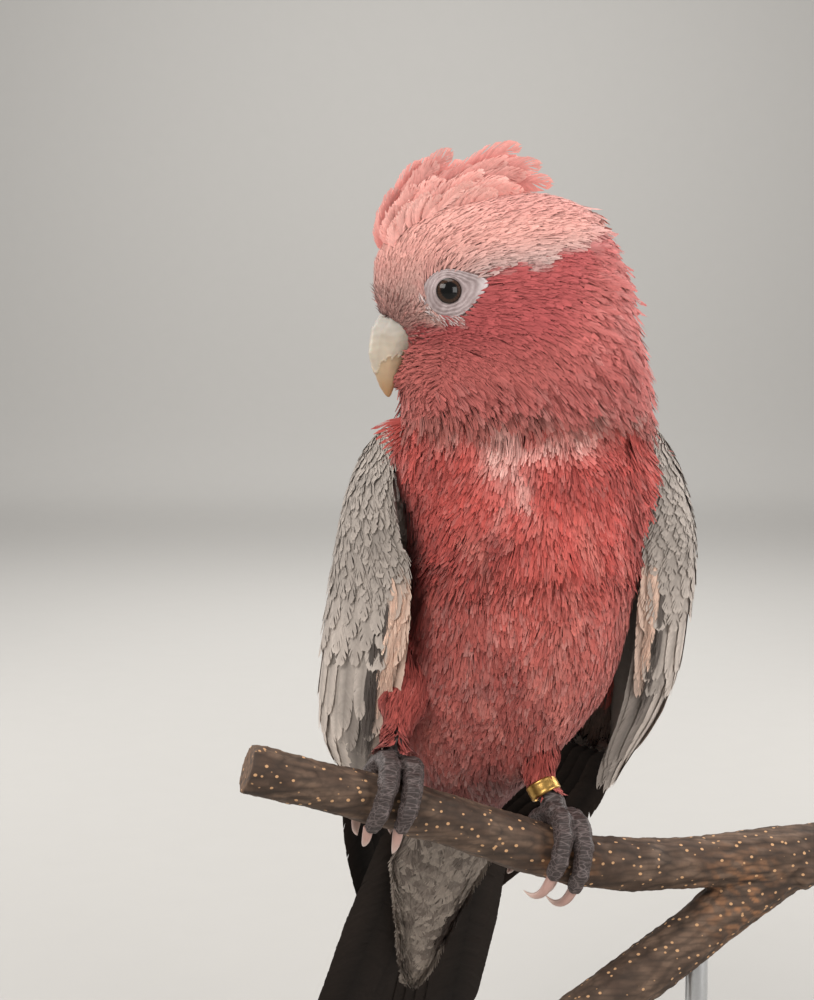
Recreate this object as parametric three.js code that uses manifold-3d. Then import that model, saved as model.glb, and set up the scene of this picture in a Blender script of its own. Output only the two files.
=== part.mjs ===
// A life-size galah standing on a forked length of branch, held by a plain display stand.
// Millimetres, +Z up. The chest faces -Y and the head is turned to face -X, so +X is the
// bird's left. The origin is the centre of the stand base's underside.
import * as THREE from 'three';
import { LoftGeometry } from 'three/addons/geometries/LoftGeometry.js';
import { mergeVertices } from 'three/addons/utils/BufferGeometryUtils.js';
import Module from 'manifold-3d';

const wasm = await Module();
wasm.setup();

// Driving dimensions
const seam = 0.35; // gap kept between touching pieces
const headYaw = 8; // degrees the face comes round from -X towards -Y
const bodyYaw = 15; // degrees the chest turns towards +X
const bladeThickness = 0.6; // flight and tail feathers
const bladeStep = 0.8; // how far apart stacked feathers lie
const eyeRadius = 5.2;
const toeRadius = 3.5;
const clawRadius = 1.7;
const toeClearance = 0.7; // between a toe and the bark
const tailFeathers = 10;
const tailLength = 137;
const tailFeatherWidth = 25;
const primaryCount = 5;
const baseSize = { width: 172, depth: 132, height: 12, corner: 14 };
const rodRadius = 4;
const ringSize = { inner: 4.6, outer: 5.7, height: 5.2 };

const v3 = (x, y, z) => new THREE.Vector3(x, y, z);
const radians = THREE.MathUtils.degToRad;
const up = v3(0, 0, 1);
const bodySide = v3(Math.cos(radians(bodyYaw)), Math.sin(radians(bodyYaw)), 0);

// ---- solids and booleans ----

function closed(geometry) {
  const plain = new THREE.BufferGeometry().copy(geometry);
  plain.deleteAttribute('normal');
  plain.deleteAttribute('uv');
  const merged = mergeVertices(plain, 1e-4);
  const index = merged.index.array;
  const kept = [];
  for (let i = 0; i < index.length; i += 3) {
    const [a, b, c] = [index[i], index[i + 1], index[i + 2]];
    if (a !== b && b !== c && c !== a) kept.push(a, b, c);
  }
  merged.setIndex(kept);
  return merged;
}

function toSolid(geometry) {
  const merged = closed(geometry);
  return new wasm.Manifold(new wasm.Mesh({
    numProp: 3,
    vertProperties: new Float32Array(merged.attributes.position.array),
    triVerts: new Uint32Array(merged.index.array),
  }));
}

function toGeometry(solid) {
  const mesh = solid.getMesh();
  const geometry = new THREE.BufferGeometry();
  geometry.setAttribute('position', new THREE.BufferAttribute(new Float32Array(mesh.vertProperties), 3));
  geometry.setIndex(new THREE.BufferAttribute(new Uint32Array(mesh.triVerts), 1));
  geometry.computeVertexNormals();
  return geometry;
}

// The same solid, swollen outwards all over, used to cut clearance in a neighbour.
function swollen(solid, amount = seam) {
  const geometry = toGeometry(solid);
  const { position, normal } = geometry.attributes;
  const corner = new THREE.Vector3();
  const push = new THREE.Vector3();
  for (let i = 0; i < position.count; i += 1) {
    corner.fromBufferAttribute(position, i);
    push.fromBufferAttribute(normal, i);
    corner.addScaledVector(push, amount);
    position.setXYZ(i, corner.x, corner.y, corner.z);
  }
  return toSolid(geometry);
}

const joined = (solids) => solids.reduce((sum, solid) => sum.add(solid));

// The solid less its cutters. Crumbs that a cut leaves loose are dropped.
function without(solid, ...cutters) {
  const left = cutters.reduce((rest, cutter) => rest.subtract(cutter), solid);
  const bodies = left.decompose().sort((a, b) => b.volume() - a.volume());
  return bodies[0];
}

// Everything on the far side of a plane, as a large block to intersect with.
function halfSpace(point, normal) {
  const reach = 600;
  const block = new THREE.BoxGeometry(reach, reach, reach);
  block.translate(0, 0, reach / 2);
  const turn = new THREE.Quaternion().setFromUnitVectors(up, normal.clone().normalize());
  block.applyQuaternion(turn);
  block.translate(point.x, point.y, point.z);
  return toSolid(block);
}

// ---- lofts ----

// A Catmull-Rom reading of a short list of numbers, for t from 0 to 1.
function along(values, t) {
  const scaled = t * (values.length - 1);
  const i = Math.min(Math.floor(scaled), values.length - 2);
  const at = (k) => values[THREE.MathUtils.clamp(k, 0, values.length - 1)];
  const [a, b, c, d] = [at(i - 1), at(i), at(i + 1), at(i + 2)];
  const f = scaled - i;
  return b + 0.5 * f * (c - a + f * (2 * a - 5 * b + 4 * c - d + f * (3 * (b - c) + d - a)));
}

// Fullness of a loft that closes in a round end at both 0 and 1; share is the rounded part.
function roundEnds(t, share) {
  const fromEnd = Math.min(t, 1 - t) / share;
  return fromEnd >= 1 ? 1 : Math.sqrt(Math.max(1 - (1 - fromEnd) ** 2, 0));
}

// Rings bunched towards both ends, where a round end needs them.
const bunched = (i, rings) => (1 - Math.cos((Math.PI * i) / (rings - 1))) / 2;

const caps = { capStart: true, capEnd: true };

// A limb along a curve. across and deep give half sizes for t from 0 to 1, and side is
// the direction that across is measured in.
function limb(points, { across, deep = across, side = v3(0, 1, 0), rings = 12, around = 12,
  ends = 0.12, square = false }) {
  const curve = new THREE.CatmullRomCurve3(points);
  const sections = [];
  const smallest = 0.04;
  for (let i = 0; i < rings; i += 1) {
    const t = ends > 0 ? bunched(i, rings) : i / (rings - 1);
    const centre = curve.getPointAt(t);
    const forward = curve.getTangentAt(t);
    const sideways = side.clone().addScaledVector(forward, -side.dot(forward)).normalize();
    const other = forward.clone().cross(sideways);
    const full = ends > 0 ? Math.max(roundEnds(t, ends), smallest) : 1;
    const phase = square ? 0.5 : 0;
    const reach = square ? Math.SQRT2 : 1;
    const ring = [];
    for (let j = 0; j < around; j += 1) {
      const angle = ((j + phase) / around) * 2 * Math.PI;
      ring.push(centre.clone()
        .addScaledVector(sideways, across(t) * full * reach * Math.cos(angle))
        .addScaledVector(other, deep(t) * (square ? 1 : full) * reach * Math.sin(angle)));
    }
    sections.push(ring);
  }
  return toSolid(new LoftGeometry(sections, caps));
}

// One long feather: a thin strip with a rounded tip.
function feather(points, { width, side, tip = 0.2, thickness = bladeThickness, rings = 5 }) {
  const across = (t) => {
    const fromTip = Math.min((1 - t) / tip, 1);
    const fromRoot = Math.min(0.45 + t * 2.2, 1);
    return (width / 2) * fromRoot * Math.max(Math.sqrt(1 - (1 - fromTip) ** 2), 0.12);
  };
  return limb(points, { across, deep: () => thickness / 2, side, rings, around: 4, ends: 1e-6, square: true });
}

// ---- the body, modelled whole and then parted ----

// Level sections from the crown down to the rump. The front of each head section is -X.
const bodyLevels = {
  z: [362.5, 361, 356, 346, 334, 322, 311, 300, 289, 280, 268, 250, 228, 206, 188, 172, 158, 146, 136, 130],
  x: [4, 2, -3, -7.5, -6, -4, 0.5, 2.5, 3.5, 3, 4.5, 4.5, 2.5, -0.5, -4, -8, -12, -15.5, -18, -19.5],
  y: [-22, -22, -23, -24.5, -25, -24.5, -23, -19.5, -15, -9, -2, 6, 12, 18, 24, 29, 35, 41, 46, 49],
  halfX: [2.5, 13, 28, 38.5, 42.5, 42.5, 40.5, 42, 42, 45, 46, 42, 41, 41, 39, 32.5, 24.5, 18.5, 13, 5],
  halfY: [2.5, 9, 16, 21, 23.5, 25, 26.5, 27.5, 28, 31, 36, 42, 45, 44, 41.5, 36.5, 30, 23, 15, 6],
  narrowFront: [0, 0.05, 0.15, 0.25, 0.28, 0.32, 0.42, 0.25, 0.08, 0, 0, 0, 0, 0, 0, 0, 0, 0, 0, 0],
};

function wholeBody() {
  const levels = 28;
  const around = 22;
  const neckShare = 0.45; // where down the levels the head's turn ends
  const sections = [];
  for (let i = 0; i < levels; i += 1) {
    const t = 1 - i / (levels - 1);
    const yaw = radians(THREE.MathUtils.lerp(headYaw, bodyYaw, Math.min(t / neckShare, 1)));
    const [halfX, halfY] = [along(bodyLevels.halfX, t), along(bodyLevels.halfY, t)];
    const narrow = along(bodyLevels.narrowFront, t);
    const ring = [];
    for (let j = 0; j < around; j += 1) {
      const angle = (j / around) * 2 * Math.PI;
      const x = halfX * Math.cos(angle);
      const y = halfY * Math.sin(angle) * (1 + narrow * Math.cos(angle));
      ring.push(v3(
        along(bodyLevels.x, t) + x * Math.cos(yaw) - y * Math.sin(yaw),
        along(bodyLevels.y, t) + x * Math.sin(yaw) + y * Math.cos(yaw),
        along(bodyLevels.z, t),
      ));
    }
    sections.push(ring);
  }
  return toSolid(new LoftGeometry(sections, caps));
}

// The head's own axes: nose along its forward direction, ear across it.
const headCentre = v3(-4, -24.5, 325);
const headForward = v3(-Math.cos(radians(headYaw)), -Math.sin(radians(headYaw)), 0);
const headAcross = headForward.clone().cross(up); // towards the bird's left, facing -Y
const inHead = (forward, across, height) => headCentre.clone()
  .addScaledVector(headForward, forward)
  .addScaledVector(headAcross, across)
  .add(v3(0, 0, height));

const eyePlace = { forward: 22.8, across: 15.9, height: 4 };
const leftSide = headAcross.y < 0 ? 1 : -1;

function eyeball(side, radius) {
  const ball = new THREE.SphereGeometry(radius, 12, 7);
  const centre = inHead(eyePlace.forward, eyePlace.across * side, eyePlace.height);
  ball.translate(centre.x, centre.y, centre.z);
  return toSolid(ball);
}

// ---- bill ----

function upperBill() {
  return limb([
    inHead(27, 0, -3.5), inHead(33.5, 0, -6), inHead(37.8, 0, -11), inHead(39.6, 0, -16.9),
    inHead(40, 0, -22.7), inHead(39.4, 0, -29),
  ], {
    across: (t) => along([8, 8.6, 7.6, 5.4, 3.1, 1.1], t),
    deep: (t) => along([8, 9.2, 8.3, 6, 3.3, 1.1], t),
    side: headAcross,
    rings: 10,
    around: 10,
    ends: 0.1,
  });
}

function lowerBill() {
  return limb([inHead(23, 0, -13.5), inHead(31, 0, -18), inHead(35.3, 0, -22), inHead(37, 0, -25.4)], {
    across: (t) => along([5.4, 5.6, 4.8, 2.8], t),
    deep: (t) => along([4, 4.2, 3.4, 1.6], t),
    side: headAcross,
    rings: 5,
    around: 6,
    ends: 0.15,
  });
}

// ---- crest ----

// Each crest feather springs from the crown and curves up and back. fan is 0 for the
// front feather and 1 for the rearmost, and lean carries it off the centre line.
const crestFeathers = [
  { fan: 0, lean: 1, length: 19 },
  { fan: 0.1, lean: -3, length: 26 },
  { fan: 0.2, lean: 3, length: 33 },
  { fan: 0.32, lean: -4, length: 34 },
  { fan: 0.44, lean: 4, length: 38 },
  { fan: 0.56, lean: -1.5, length: 42 },
  { fan: 0.67, lean: 3.5, length: 42 },
  { fan: 0.78, lean: -4, length: 39 },
  { fan: 0.9, lean: 2, length: 34 },
  { fan: 1, lean: -1, length: 27 },
];
const crestFront = { forward: 40, height: 18 };
const crestRear = { forward: 12, height: 32 };
const crestFirstAngle = 76; // degrees above the backward direction
const crestLastAngle = 12;

function crestFeather({ fan, lean, length }) {
  const root = inHead(
    THREE.MathUtils.lerp(crestFront.forward, crestRear.forward, fan),
    lean * 0.6,
    THREE.MathUtils.lerp(crestFront.height, crestRear.height, Math.sqrt(fan)),
  );
  const angle = radians(THREE.MathUtils.lerp(crestFirstAngle, crestLastAngle, fan));
  const direction = headForward.clone().multiplyScalar(-Math.cos(angle)).addScaledVector(up, Math.sin(angle));
  const bow = headForward.clone().multiplyScalar(Math.sin(angle)).addScaledVector(up, Math.cos(angle));
  const at = (share, rise) => root.clone()
    .addScaledVector(direction, length * share)
    .addScaledVector(bow, length * rise)
    .addScaledVector(headAcross, lean * share);
  return limb([at(0, 0), at(0.35, 0.07), at(0.7, 0.08), at(1, 0.02)], {
    across: (t) => along([2.6, 4.2, 4.4, 3.2, 1], t),
    deep: (t) => along([1.4, 1.2, 0.9, 0.6, 0.4], t),
    side: bow.clone().addScaledVector(headAcross, 0.8 * Math.sign(lean)),
    rings: 5,
    around: 4,
    ends: 0,
    square: true,
  });
}

function crestSolid() {
  const mound = limb([
    inHead(41.5, 0, 13), inHead(36.5, 0, 23), inHead(25, 0, 30), inHead(10, 0, 34.5), inHead(-6, 0, 35.5),
  ], {
    across: (t) => along([5, 9, 10, 9, 5], t),
    deep: (t) => along([2.5, 5, 5.5, 4.6, 2.6], t),
    side: headAcross,
    rings: 6,
    around: 8,
    ends: 0.15,
  });
  return joined([mound, ...crestFeathers.map(crestFeather)]);
}

// ---- wings ----

// Each folded wing lies between four rails that run from the shoulder to the lower end:
// its leading edge, its bulge, its back and its trailing edge over the rump.
const wingEnd = 158; // height where the coverts end and the bare primaries run on
const rightWingRails = [
  [v3(-39, -7, 284), v3(-41, -20, 262), v3(-36, -21, 235), v3(-41, -12, 200), v3(-46, 8, 170), v3(-51, 26, wingEnd)],
  [v3(-44, 5, 286), v3(-52, 4, 262), v3(-58.5, 11, 230), v3(-64, 18, 198), v3(-66, 29, 172), v3(-62, 41, wingEnd)],
  [v3(-41, 20, 285), v3(-48, 32, 262), v3(-50, 44, 230), v3(-52, 52, 198), v3(-53, 58, 172), v3(-50, 60, wingEnd)],
  [v3(-35, 28, 283), v3(-32, 42, 262), v3(-28, 56, 230), v3(-26, 63, 198), v3(-27, 68, 172), v3(-34, 70, wingEnd)],
];
const leftWingRails = [
  [v3(44, 2, 284), v3(46, -5, 262), v3(45, -4, 240), v3(46, 5, 212), v3(44, 18, 184), v3(38, 36, wingEnd)],
  [v3(50, 13, 286), v3(57, 10, 262), v3(61, 14, 240), v3(60.5, 22, 212), v3(57, 33, 184), v3(46, 46, wingEnd)],
  [v3(43, 28, 285), v3(47, 38, 262), v3(44, 48, 240), v3(41, 58, 212), v3(37, 64, 184), v3(33, 65, wingEnd)],
  [v3(35, 36, 283), v3(25, 48, 262), v3(13, 58, 240), v3(5, 66, 212), v3(2, 72, 184), v3(10, 75, wingEnd)],
];
const wingThickness = [9, 13, 13, 11, 7, 3];

function wingSolid(rails, mirrored) {
  const rings = 12;
  const around = 12;
  const curves = rails.map((points) => new THREE.CatmullRomCurve3(points));
  const sections = [];
  for (let i = 0; i < rings; i += 1) {
    const t = bunched(i, rings);
    const breadth = new THREE.CatmullRomCurve3(curves.map((curve) => curve.getPoint(t)));
    const middle = breadth.getPoint(0.5);
    const full = Math.max(roundEnds(t, 0.16), 0.08);
    const thickness = along(wingThickness, t) / 2;
    const ring = [];
    for (let j = 0; j < around; j += 1) {
      const angle = (j / around) * 2 * Math.PI * (mirrored ? -1 : 1);
      const s = 0.5 - 0.5 * Math.cos(angle);
      const point = breadth.getPoint(s);
      const outward = breadth.getTangent(s).cross(up).normalize().multiplyScalar(mirrored ? 1 : -1);
      const side = Math.sin(angle);
      point.lerp(middle, 1 - full);
      point.addScaledVector(outward, thickness * full * Math.sign(side) * Math.abs(side) ** 0.6);
      ring.push(point);
    }
    sections.push(ring);
  }
  return toSolid(new LoftGeometry(sections, caps));
}

// Long primaries run on from a wing's lower end, fanned a little and crossing behind the tail.
// They lie on each other like a hand of cards, held together at the root.
function primariesSolid({ outer, inner, side }) {
  const run = outer[3].clone().sub(outer[0]).normalize();
  const stack = run.clone().cross(side).normalize();
  const blades = [];
  for (let i = 0; i < primaryCount; i += 1) {
    const share = i / (primaryCount - 1);
    const points = outer.map((point, k) => point.clone().lerp(inner[k], share)
      .addScaledVector(stack, bladeStep * (i - primaryCount / 2)));
    blades.push(feather(points, { width: 14, side, tip: 0.3 }));
  }
  const root = outer[0].clone().lerp(inner[0], 0.5);
  blades.push(limb([root.clone().addScaledVector(run, -4), root.clone().addScaledVector(run, 12)], {
    across: () => outer[0].distanceTo(inner[0]) / 2 + 5, deep: () => 4, side, rings: 5, around: 8, ends: 0.3,
  }));
  const down = up.clone().negate();
  return joined(blades).intersect(halfSpace(v3(0, 0, wingEnd - seam), down));
}

const rightPrimaryRun = {
  outer: [v3(-56.5, 48, 162), v3(-57.5, 63, 132), v3(-53, 87, 95), v3(-43, 109, 60)],
  inner: [v3(-40, 66, 162), v3(-40, 75, 146), v3(-38, 86, 122), v3(-34, 99, 97)],
  side: v3(0.75, 0.6, 0.1),
};
const leftPrimaryRun = {
  outer: [v3(41, 50, 162), v3(31, 64, 134), v3(5, 90, 104), v3(-20, 115, 74)],
  inner: [v3(22, 70, 162), v3(13, 81, 146), v3(0, 95, 124), v3(-13, 108, 104)],
  side: v3(0.75, -0.3, -0.5),
};

// ---- tail ----

const tailRoot = v3(-20, 48, 143);
const tailDirection = v3(-0.19, 0.45, -0.87).normalize();
const tailSide = bodySide.clone().addScaledVector(tailDirection, -bodySide.dot(tailDirection)).normalize();
const tailBack = tailSide.clone().cross(tailDirection).normalize();

function tailSolid() {
  const blades = [limb([tailRoot.clone(), tailRoot.clone().addScaledVector(tailDirection, 16)], {
    across: () => 19, deep: () => 6, side: tailSide, rings: 5, around: 12, ends: 0.3,
  })];
  const rootSpread = 15;
  const fanDegrees = -4.5;
  for (let i = 0; i < tailFeathers; i += 1) {
    const place = (2 * i) / (tailFeathers - 1) - 1;
    const root = tailRoot.clone()
      .addScaledVector(tailSide, rootSpread * place)
      .addScaledVector(tailBack, -bladeStep * (Math.abs(place) * (tailFeathers - 1) + Math.sign(place) / 2));
    const turned = tailDirection.clone().applyAxisAngle(tailBack, radians(fanDegrees * place));
    const length = tailLength - 7 * place * place;
    const at = (share) => root.clone()
      .addScaledVector(turned, length * share)
      .addScaledVector(tailBack, 3 * share * share);
    const points = [at(0), at(0.4), at(0.75), at(1)];
    blades.push(feather(points, { width: tailFeatherWidth, side: tailSide, tip: 0.13 }));
  }
  return joined(blades);
}

function undertailSolid() {
  const front = (down, offset, aside) => tailRoot.clone()
    .addScaledVector(tailDirection, down)
    .addScaledVector(tailBack, -offset)
    .addScaledVector(tailSide, aside);
  const spine = [
    front(-18, 17.6, -3), front(12, 16.8, -5), front(40, 14.8, -3.5), front(70, 13, -1), front(94, 11.4, 0),
  ];
  return limb(spine, {
    across: (t) => along([16, 20, 15, 9.5, 5], t),
    deep: (t) => along([8, 7, 5, 3.2, 1.6], t),
    side: tailSide,
    rings: 9,
    around: 10,
    ends: 0.14,
  });
}

// ---- perch ----

const mainLimb = [v3(-89, -39.5, 175.8), v3(-62.4, -32.1, 167.4), v3(-36.3, -25, 158.8), v3(-8, -17.4, 147.6),
  v3(16, -10.9, 138.2), v3(38.1, -4.9, 133.2), v3(59.5, 1, 131.7), v3(88.1, 8.7, 131.1), v3(124, 18.4, 131.9)];
const lowerLimb = [v3(103, 12.8, 129), v3(84, 7.6, 118.4), v3(66.6, 2.9, 106), v3(45.4, -2.9, 92.7),
  v3(20, -9.8, 77)];
const mainCurve = new THREE.CatmullRomCurve3(mainLimb);
const lowerCurve = new THREE.CatmullRomCurve3(lowerLimb);
const rodPlace = lowerCurve.getPoint(0.5);

const mainRadii = [8.1, 8.3, 8.6, 9, 9.2, 9.3, 9.4, 10.6, 10.8];
const lowerRadii = [9.6, 10.2, 9.4, 9.6, 9.8];

// Radius of a limb of the branch, with the slight swellings of old buds.
const barkRadius = (radii, t, seed) => along(radii, t)
  * (1 + 0.035 * Math.sin(t * 31 + seed) + 0.02 * Math.sin(t * 57 + seed * 2));

function branchSolid() {
  const main = limb(mainLimb, {
    across: (t) => barkRadius(mainRadii, t, 1), side: up, rings: 17, around: 10, ends: 0,
  });
  const lower = limb(lowerLimb, {
    across: (t) => barkRadius(lowerRadii, t, 4), side: up, rings: 8, around: 10, ends: 0,
  });
  const knot = limb([v3(104, 8, 128), v3(109, 3, 124)], {
    across: () => 6, side: up, rings: 5, around: 8, ends: 0.3,
  });
  return joined([main, lower, knot]);
}

// ---- feet ----

// A place over the skin of the branch: share along its main curve, degrees round from the
// top towards the front, and a height above the bark.
function onBranch(share, degreesRound, height) {
  const centre = mainCurve.getPointAt(share);
  const forward = mainCurve.getTangentAt(share);
  const front = forward.clone().cross(up).normalize();
  const top = front.clone().cross(forward).normalize();
  const angle = radians(degreesRound);
  const out = barkRadius(mainRadii, share, 1) + height;
  return centre.clone()
    .addScaledVector(top, out * Math.cos(angle))
    .addScaledVector(front, out * Math.sin(angle));
}

const branchLength = mainCurve.getLength();

// Four toes to a foot, two round the front and two round the back of the branch.
const toePlan = [
  { name: 'front_outer', offset: -4.2, end: -6.2, sweep: 140 },
  { name: 'front_inner', offset: 3.4, end: 3.2, sweep: 124 },
  { name: 'back_inner', offset: 4.2, end: 6.5, sweep: -112 },
  { name: 'back_outer', offset: -3.6, end: -6.5, sweep: -132 },
];
const toeThickness = [1.1, 1.12, 1, 1, 0.92, 0.74]; // shares of toeRadius from root to claw

// Points round the branch from one angle to another, clear of the bark by the given height.
function toePoints(foot, toe, from, to, height) {
  const points = [];
  const steps = 5;
  for (let k = 0; k <= steps; k += 1) {
    const reach = k / steps;
    const round = THREE.MathUtils.lerp(from, to, reach);
    const travelled = Math.min(Math.abs(round / toe.sweep), 1.3);
    const shift = THREE.MathUtils.lerp(toe.offset, toe.end, travelled) * foot.mirror;
    points.push(onBranch(foot.share + shift / branchLength, round, height(reach)));
  }
  return points;
}

function footSolid(foot) {
  const parts = [limb(foot.shank, {
    across: (t) => along([4.6, 3.7, 3.5, 3.8], t), side: bodySide, rings: 6, around: 8, ends: 0.12,
  })];
  for (const toe of toePlan) {
    const height = (reach) => toeRadius * along(toeThickness, reach) + toeClearance;
    parts.push(limb(toePoints(foot, toe, -14 * Math.sign(toe.sweep), toe.sweep, height), {
      across: (t) => toeRadius * along(toeThickness, t),
      side: v3(1, 0.2, 0),
      rings: 7,
      around: 6,
      ends: 0.08,
    }));
  }
  return joined(parts);
}

// A claw runs on from its toe, hanging clear of the bark before it hooks back.
function clawSolid(foot, toe) {
  const turn = Math.sign(toe.sweep);
  const base = toeRadius * toeThickness.at(-1) + toeClearance;
  const gap = 2; // degrees round the branch between a toe and its claw
  const travel = 42;
  const hang = 2.4;
  const points = [];
  const steps = 4;
  for (let k = 0; k <= steps; k += 1) {
    const reach = k / steps;
    const aside = toe.end * foot.mirror + foot.clawDrift * reach ** 1.5;
    const round = toe.sweep + (gap + travel * reach) * turn;
    points.push(onBranch(foot.share + aside / branchLength, round, base + hang * Math.sin(Math.PI * reach)));
  }
  return limb(points, {
    across: (t) => clawRadius * along([1, 1.05, 0.8, 0.5, 0.22], t),
    side: v3(1, 0.2, 0),
    rings: 5,
    around: 6,
    ends: 0.05,
  });
}

const feet = {
  right: {
    share: 0.218,
    mirror: 1,
    hipLean: 2,
    feathered: 0.6,
    clawDrift: 0.5,
    shank: [onBranch(0.218, -10, 5.4), v3(-42, -17, 178), v3(-38, -7, 187), v3(-35, 0, 195)],
  },
  left: {
    share: 0.495,
    mirror: -1,
    hipLean: -2,
    feathered: 0.2,
    clawDrift: -5,
    shank: [onBranch(0.498, -10, 5.4), v3(13.2, -4.5, 155.5), v3(9, -1, 163), v3(3, 6, 174)],
  },
};

function thighSolid(foot, lean) {
  const knee = foot.shank[2];
  const hip = knee.clone().add(v3(lean, 14, 26));
  return limb([knee.clone().lerp(foot.shank[1], foot.feathered), knee.clone().add(v3(lean * 0.2, 3, 7)), hip], {
    across: (t) => along([5.2, 10, 14], t),
    deep: (t) => along([5.2, 9, 13], t),
    side: bodySide,
    rings: 7,
    around: 10,
    ends: 0.3,
  });
}

function legRing() {
  const { inner, outer, height } = ringSize;
  const bevel = 0.35;
  const half = height / 2;
  const profile = [
    new THREE.Vector2(inner, -half), new THREE.Vector2(outer - bevel, -half), new THREE.Vector2(outer, bevel - half),
    new THREE.Vector2(outer, half - bevel), new THREE.Vector2(outer - bevel, half), new THREE.Vector2(inner, half),
    new THREE.Vector2(inner, -half),
  ];
  const band = new THREE.LatheGeometry(profile, 14);
  const [low, high] = [feet.left.shank[1], feet.left.shank[2]];
  const turn = new THREE.Quaternion().setFromUnitVectors(v3(0, 1, 0), high.clone().sub(low).normalize());
  band.applyQuaternion(turn);
  const middle = low.clone().lerp(high, 0.55);
  band.translate(middle.x, middle.y, middle.z);
  return toSolid(band);
}

// ---- display stand ----

function standBase() {
  const { width, depth, height, corner } = baseSize;
  const bevel = 1.5;
  const [w, d] = [width / 2 - bevel, depth / 2 - bevel];
  const r = corner - bevel;
  const outline = new THREE.Shape();
  outline.moveTo(-w + r, -d);
  outline.lineTo(w - r, -d);
  outline.absarc(w - r, -d + r, r, -Math.PI / 2, 0);
  outline.lineTo(w, d - r);
  outline.absarc(w - r, d - r, r, 0, Math.PI / 2);
  outline.lineTo(-w + r, d);
  outline.absarc(-w + r, d - r, r, Math.PI / 2, Math.PI);
  outline.lineTo(-w, -d + r);
  outline.absarc(-w + r, -d + r, r, Math.PI, 1.5 * Math.PI);
  const plate = new THREE.ExtrudeGeometry(outline, {
    depth: height - 2 * bevel, bevelThickness: bevel, bevelSize: bevel, bevelSegments: 1, curveSegments: 3,
  });
  plate.translate(0, 0, bevel);
  return toSolid(plate);
}

function uprightCylinder(radius, bottom, top, place = rodPlace) {
  const bar = new THREE.CylinderGeometry(radius, radius, top - bottom, 16);
  bar.rotateX(Math.PI / 2);
  bar.translate(place.x, place.y, (top + bottom) / 2);
  return toSolid(bar);
}

function collarSolid() {
  const inner = rodRadius + seam;
  const low = baseSize.height + seam;
  const profile = [
    new THREE.Vector2(inner, 0), new THREE.Vector2(9, 0), new THREE.Vector2(9, 3), new THREE.Vector2(8, 4),
    new THREE.Vector2(6.4, 6), new THREE.Vector2(inner, 6), new THREE.Vector2(inner, 0),
  ];
  const collar = new THREE.LatheGeometry(profile, 12);
  collar.rotateX(Math.PI / 2);
  collar.translate(rodPlace.x, rodPlace.y, low);
  return toSolid(collar);
}

// ---- assembly ----

const paints = {
  headFeather: { color: 0xc0605e, roughness: 0.9 },
  crestFeather: { color: 0xe8a79c, roughness: 0.9 },
  breastFeather: { color: 0xc9574f, roughness: 0.9 },
  wingFeather: { color: 0xb0a59c, roughness: 0.85 },
  darkFeather: { color: 0x3a322d, roughness: 0.75 },
  undertailFeather: { color: 0x83766b, roughness: 0.9 },
  bill: { color: 0xd0bfa6, roughness: 0.45 },
  eye: { color: 0x2a1a12, roughness: 0.08 },
  foot: { color: 0x5c4e4b, roughness: 0.7 },
  claw: { color: 0xcaa596, roughness: 0.4 },
  ring: { color: 0xc39a3a, roughness: 0.3, metalness: 1 },
  bark: { color: 0x5e4a3a, roughness: 0.85 },
  stand: { color: 0xe8e6e1, roughness: 0.6 },
  steel: { color: 0xb9bcc0, roughness: 0.35, metalness: 1 },
};
const materials = Object.fromEntries(Object.entries(paints)
  .map(([name, look]) => [name, new THREE.MeshStandardMaterial(look)]));

const group = new THREE.Group();

function addPiece(name, solid, material) {
  const mesh = new THREE.Mesh(toGeometry(solid), materials[material]);
  mesh.name = name;
  group.add(mesh);
}

const body = wholeBody();
const bodyRoom = swollen(body);
const napePlane = { point: v3(-2, 0, 318), normal: v3(-60, 0, 56).normalize() };
const collarPlane = { point: v3(0, 0, 277), normal: v3(0.05, 0.25, 1).normalize() };
const partedBy = ({ point, normal }, sign) => halfSpace(
  point.clone().addScaledVector(normal, (sign * seam) / 2),
  normal.clone().multiplyScalar(sign),
);

const bills = [upperBill(), lowerBill()];
bills[1] = without(bills[1], swollen(bills[0]));
const billRoom = bills.map((bill) => swollen(bill));
const eyeRoom = [1, -1].map((side) => eyeball(side, eyeRadius + seam));

const branchWhole = branchSolid();
const branchRoom = swollen(branchWhole, 0.3);
const footSolids = Object.fromEntries(Object.entries(feet)
  .map(([side, foot]) => [side, without(footSolid(foot), bodyRoom)]));
const footRooms = Object.fromEntries(Object.entries(footSolids)
  .map(([side, solid]) => [side, swollen(solid, 0.5)]));

const aboveCollar = body.intersect(partedBy(collarPlane, 1));
addPiece('head', without(aboveCollar.intersect(partedBy(napePlane, 1)), ...billRoom, ...eyeRoom), 'headFeather');
addPiece('neck', without(aboveCollar.intersect(partedBy(napePlane, -1)), billRoom[1]), 'headFeather');
addPiece('trunk', body.intersect(partedBy(collarPlane, -1)), 'breastFeather');
addPiece('crest', without(crestSolid(), bodyRoom), 'crestFeather');
addPiece('bill_upper', bills[0], 'bill');
addPiece('bill_lower', bills[1], 'bill');
addPiece('eye_left', eyeball(leftSide, eyeRadius), 'eye');
addPiece('eye_right', eyeball(-leftSide, eyeRadius), 'eye');

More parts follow.
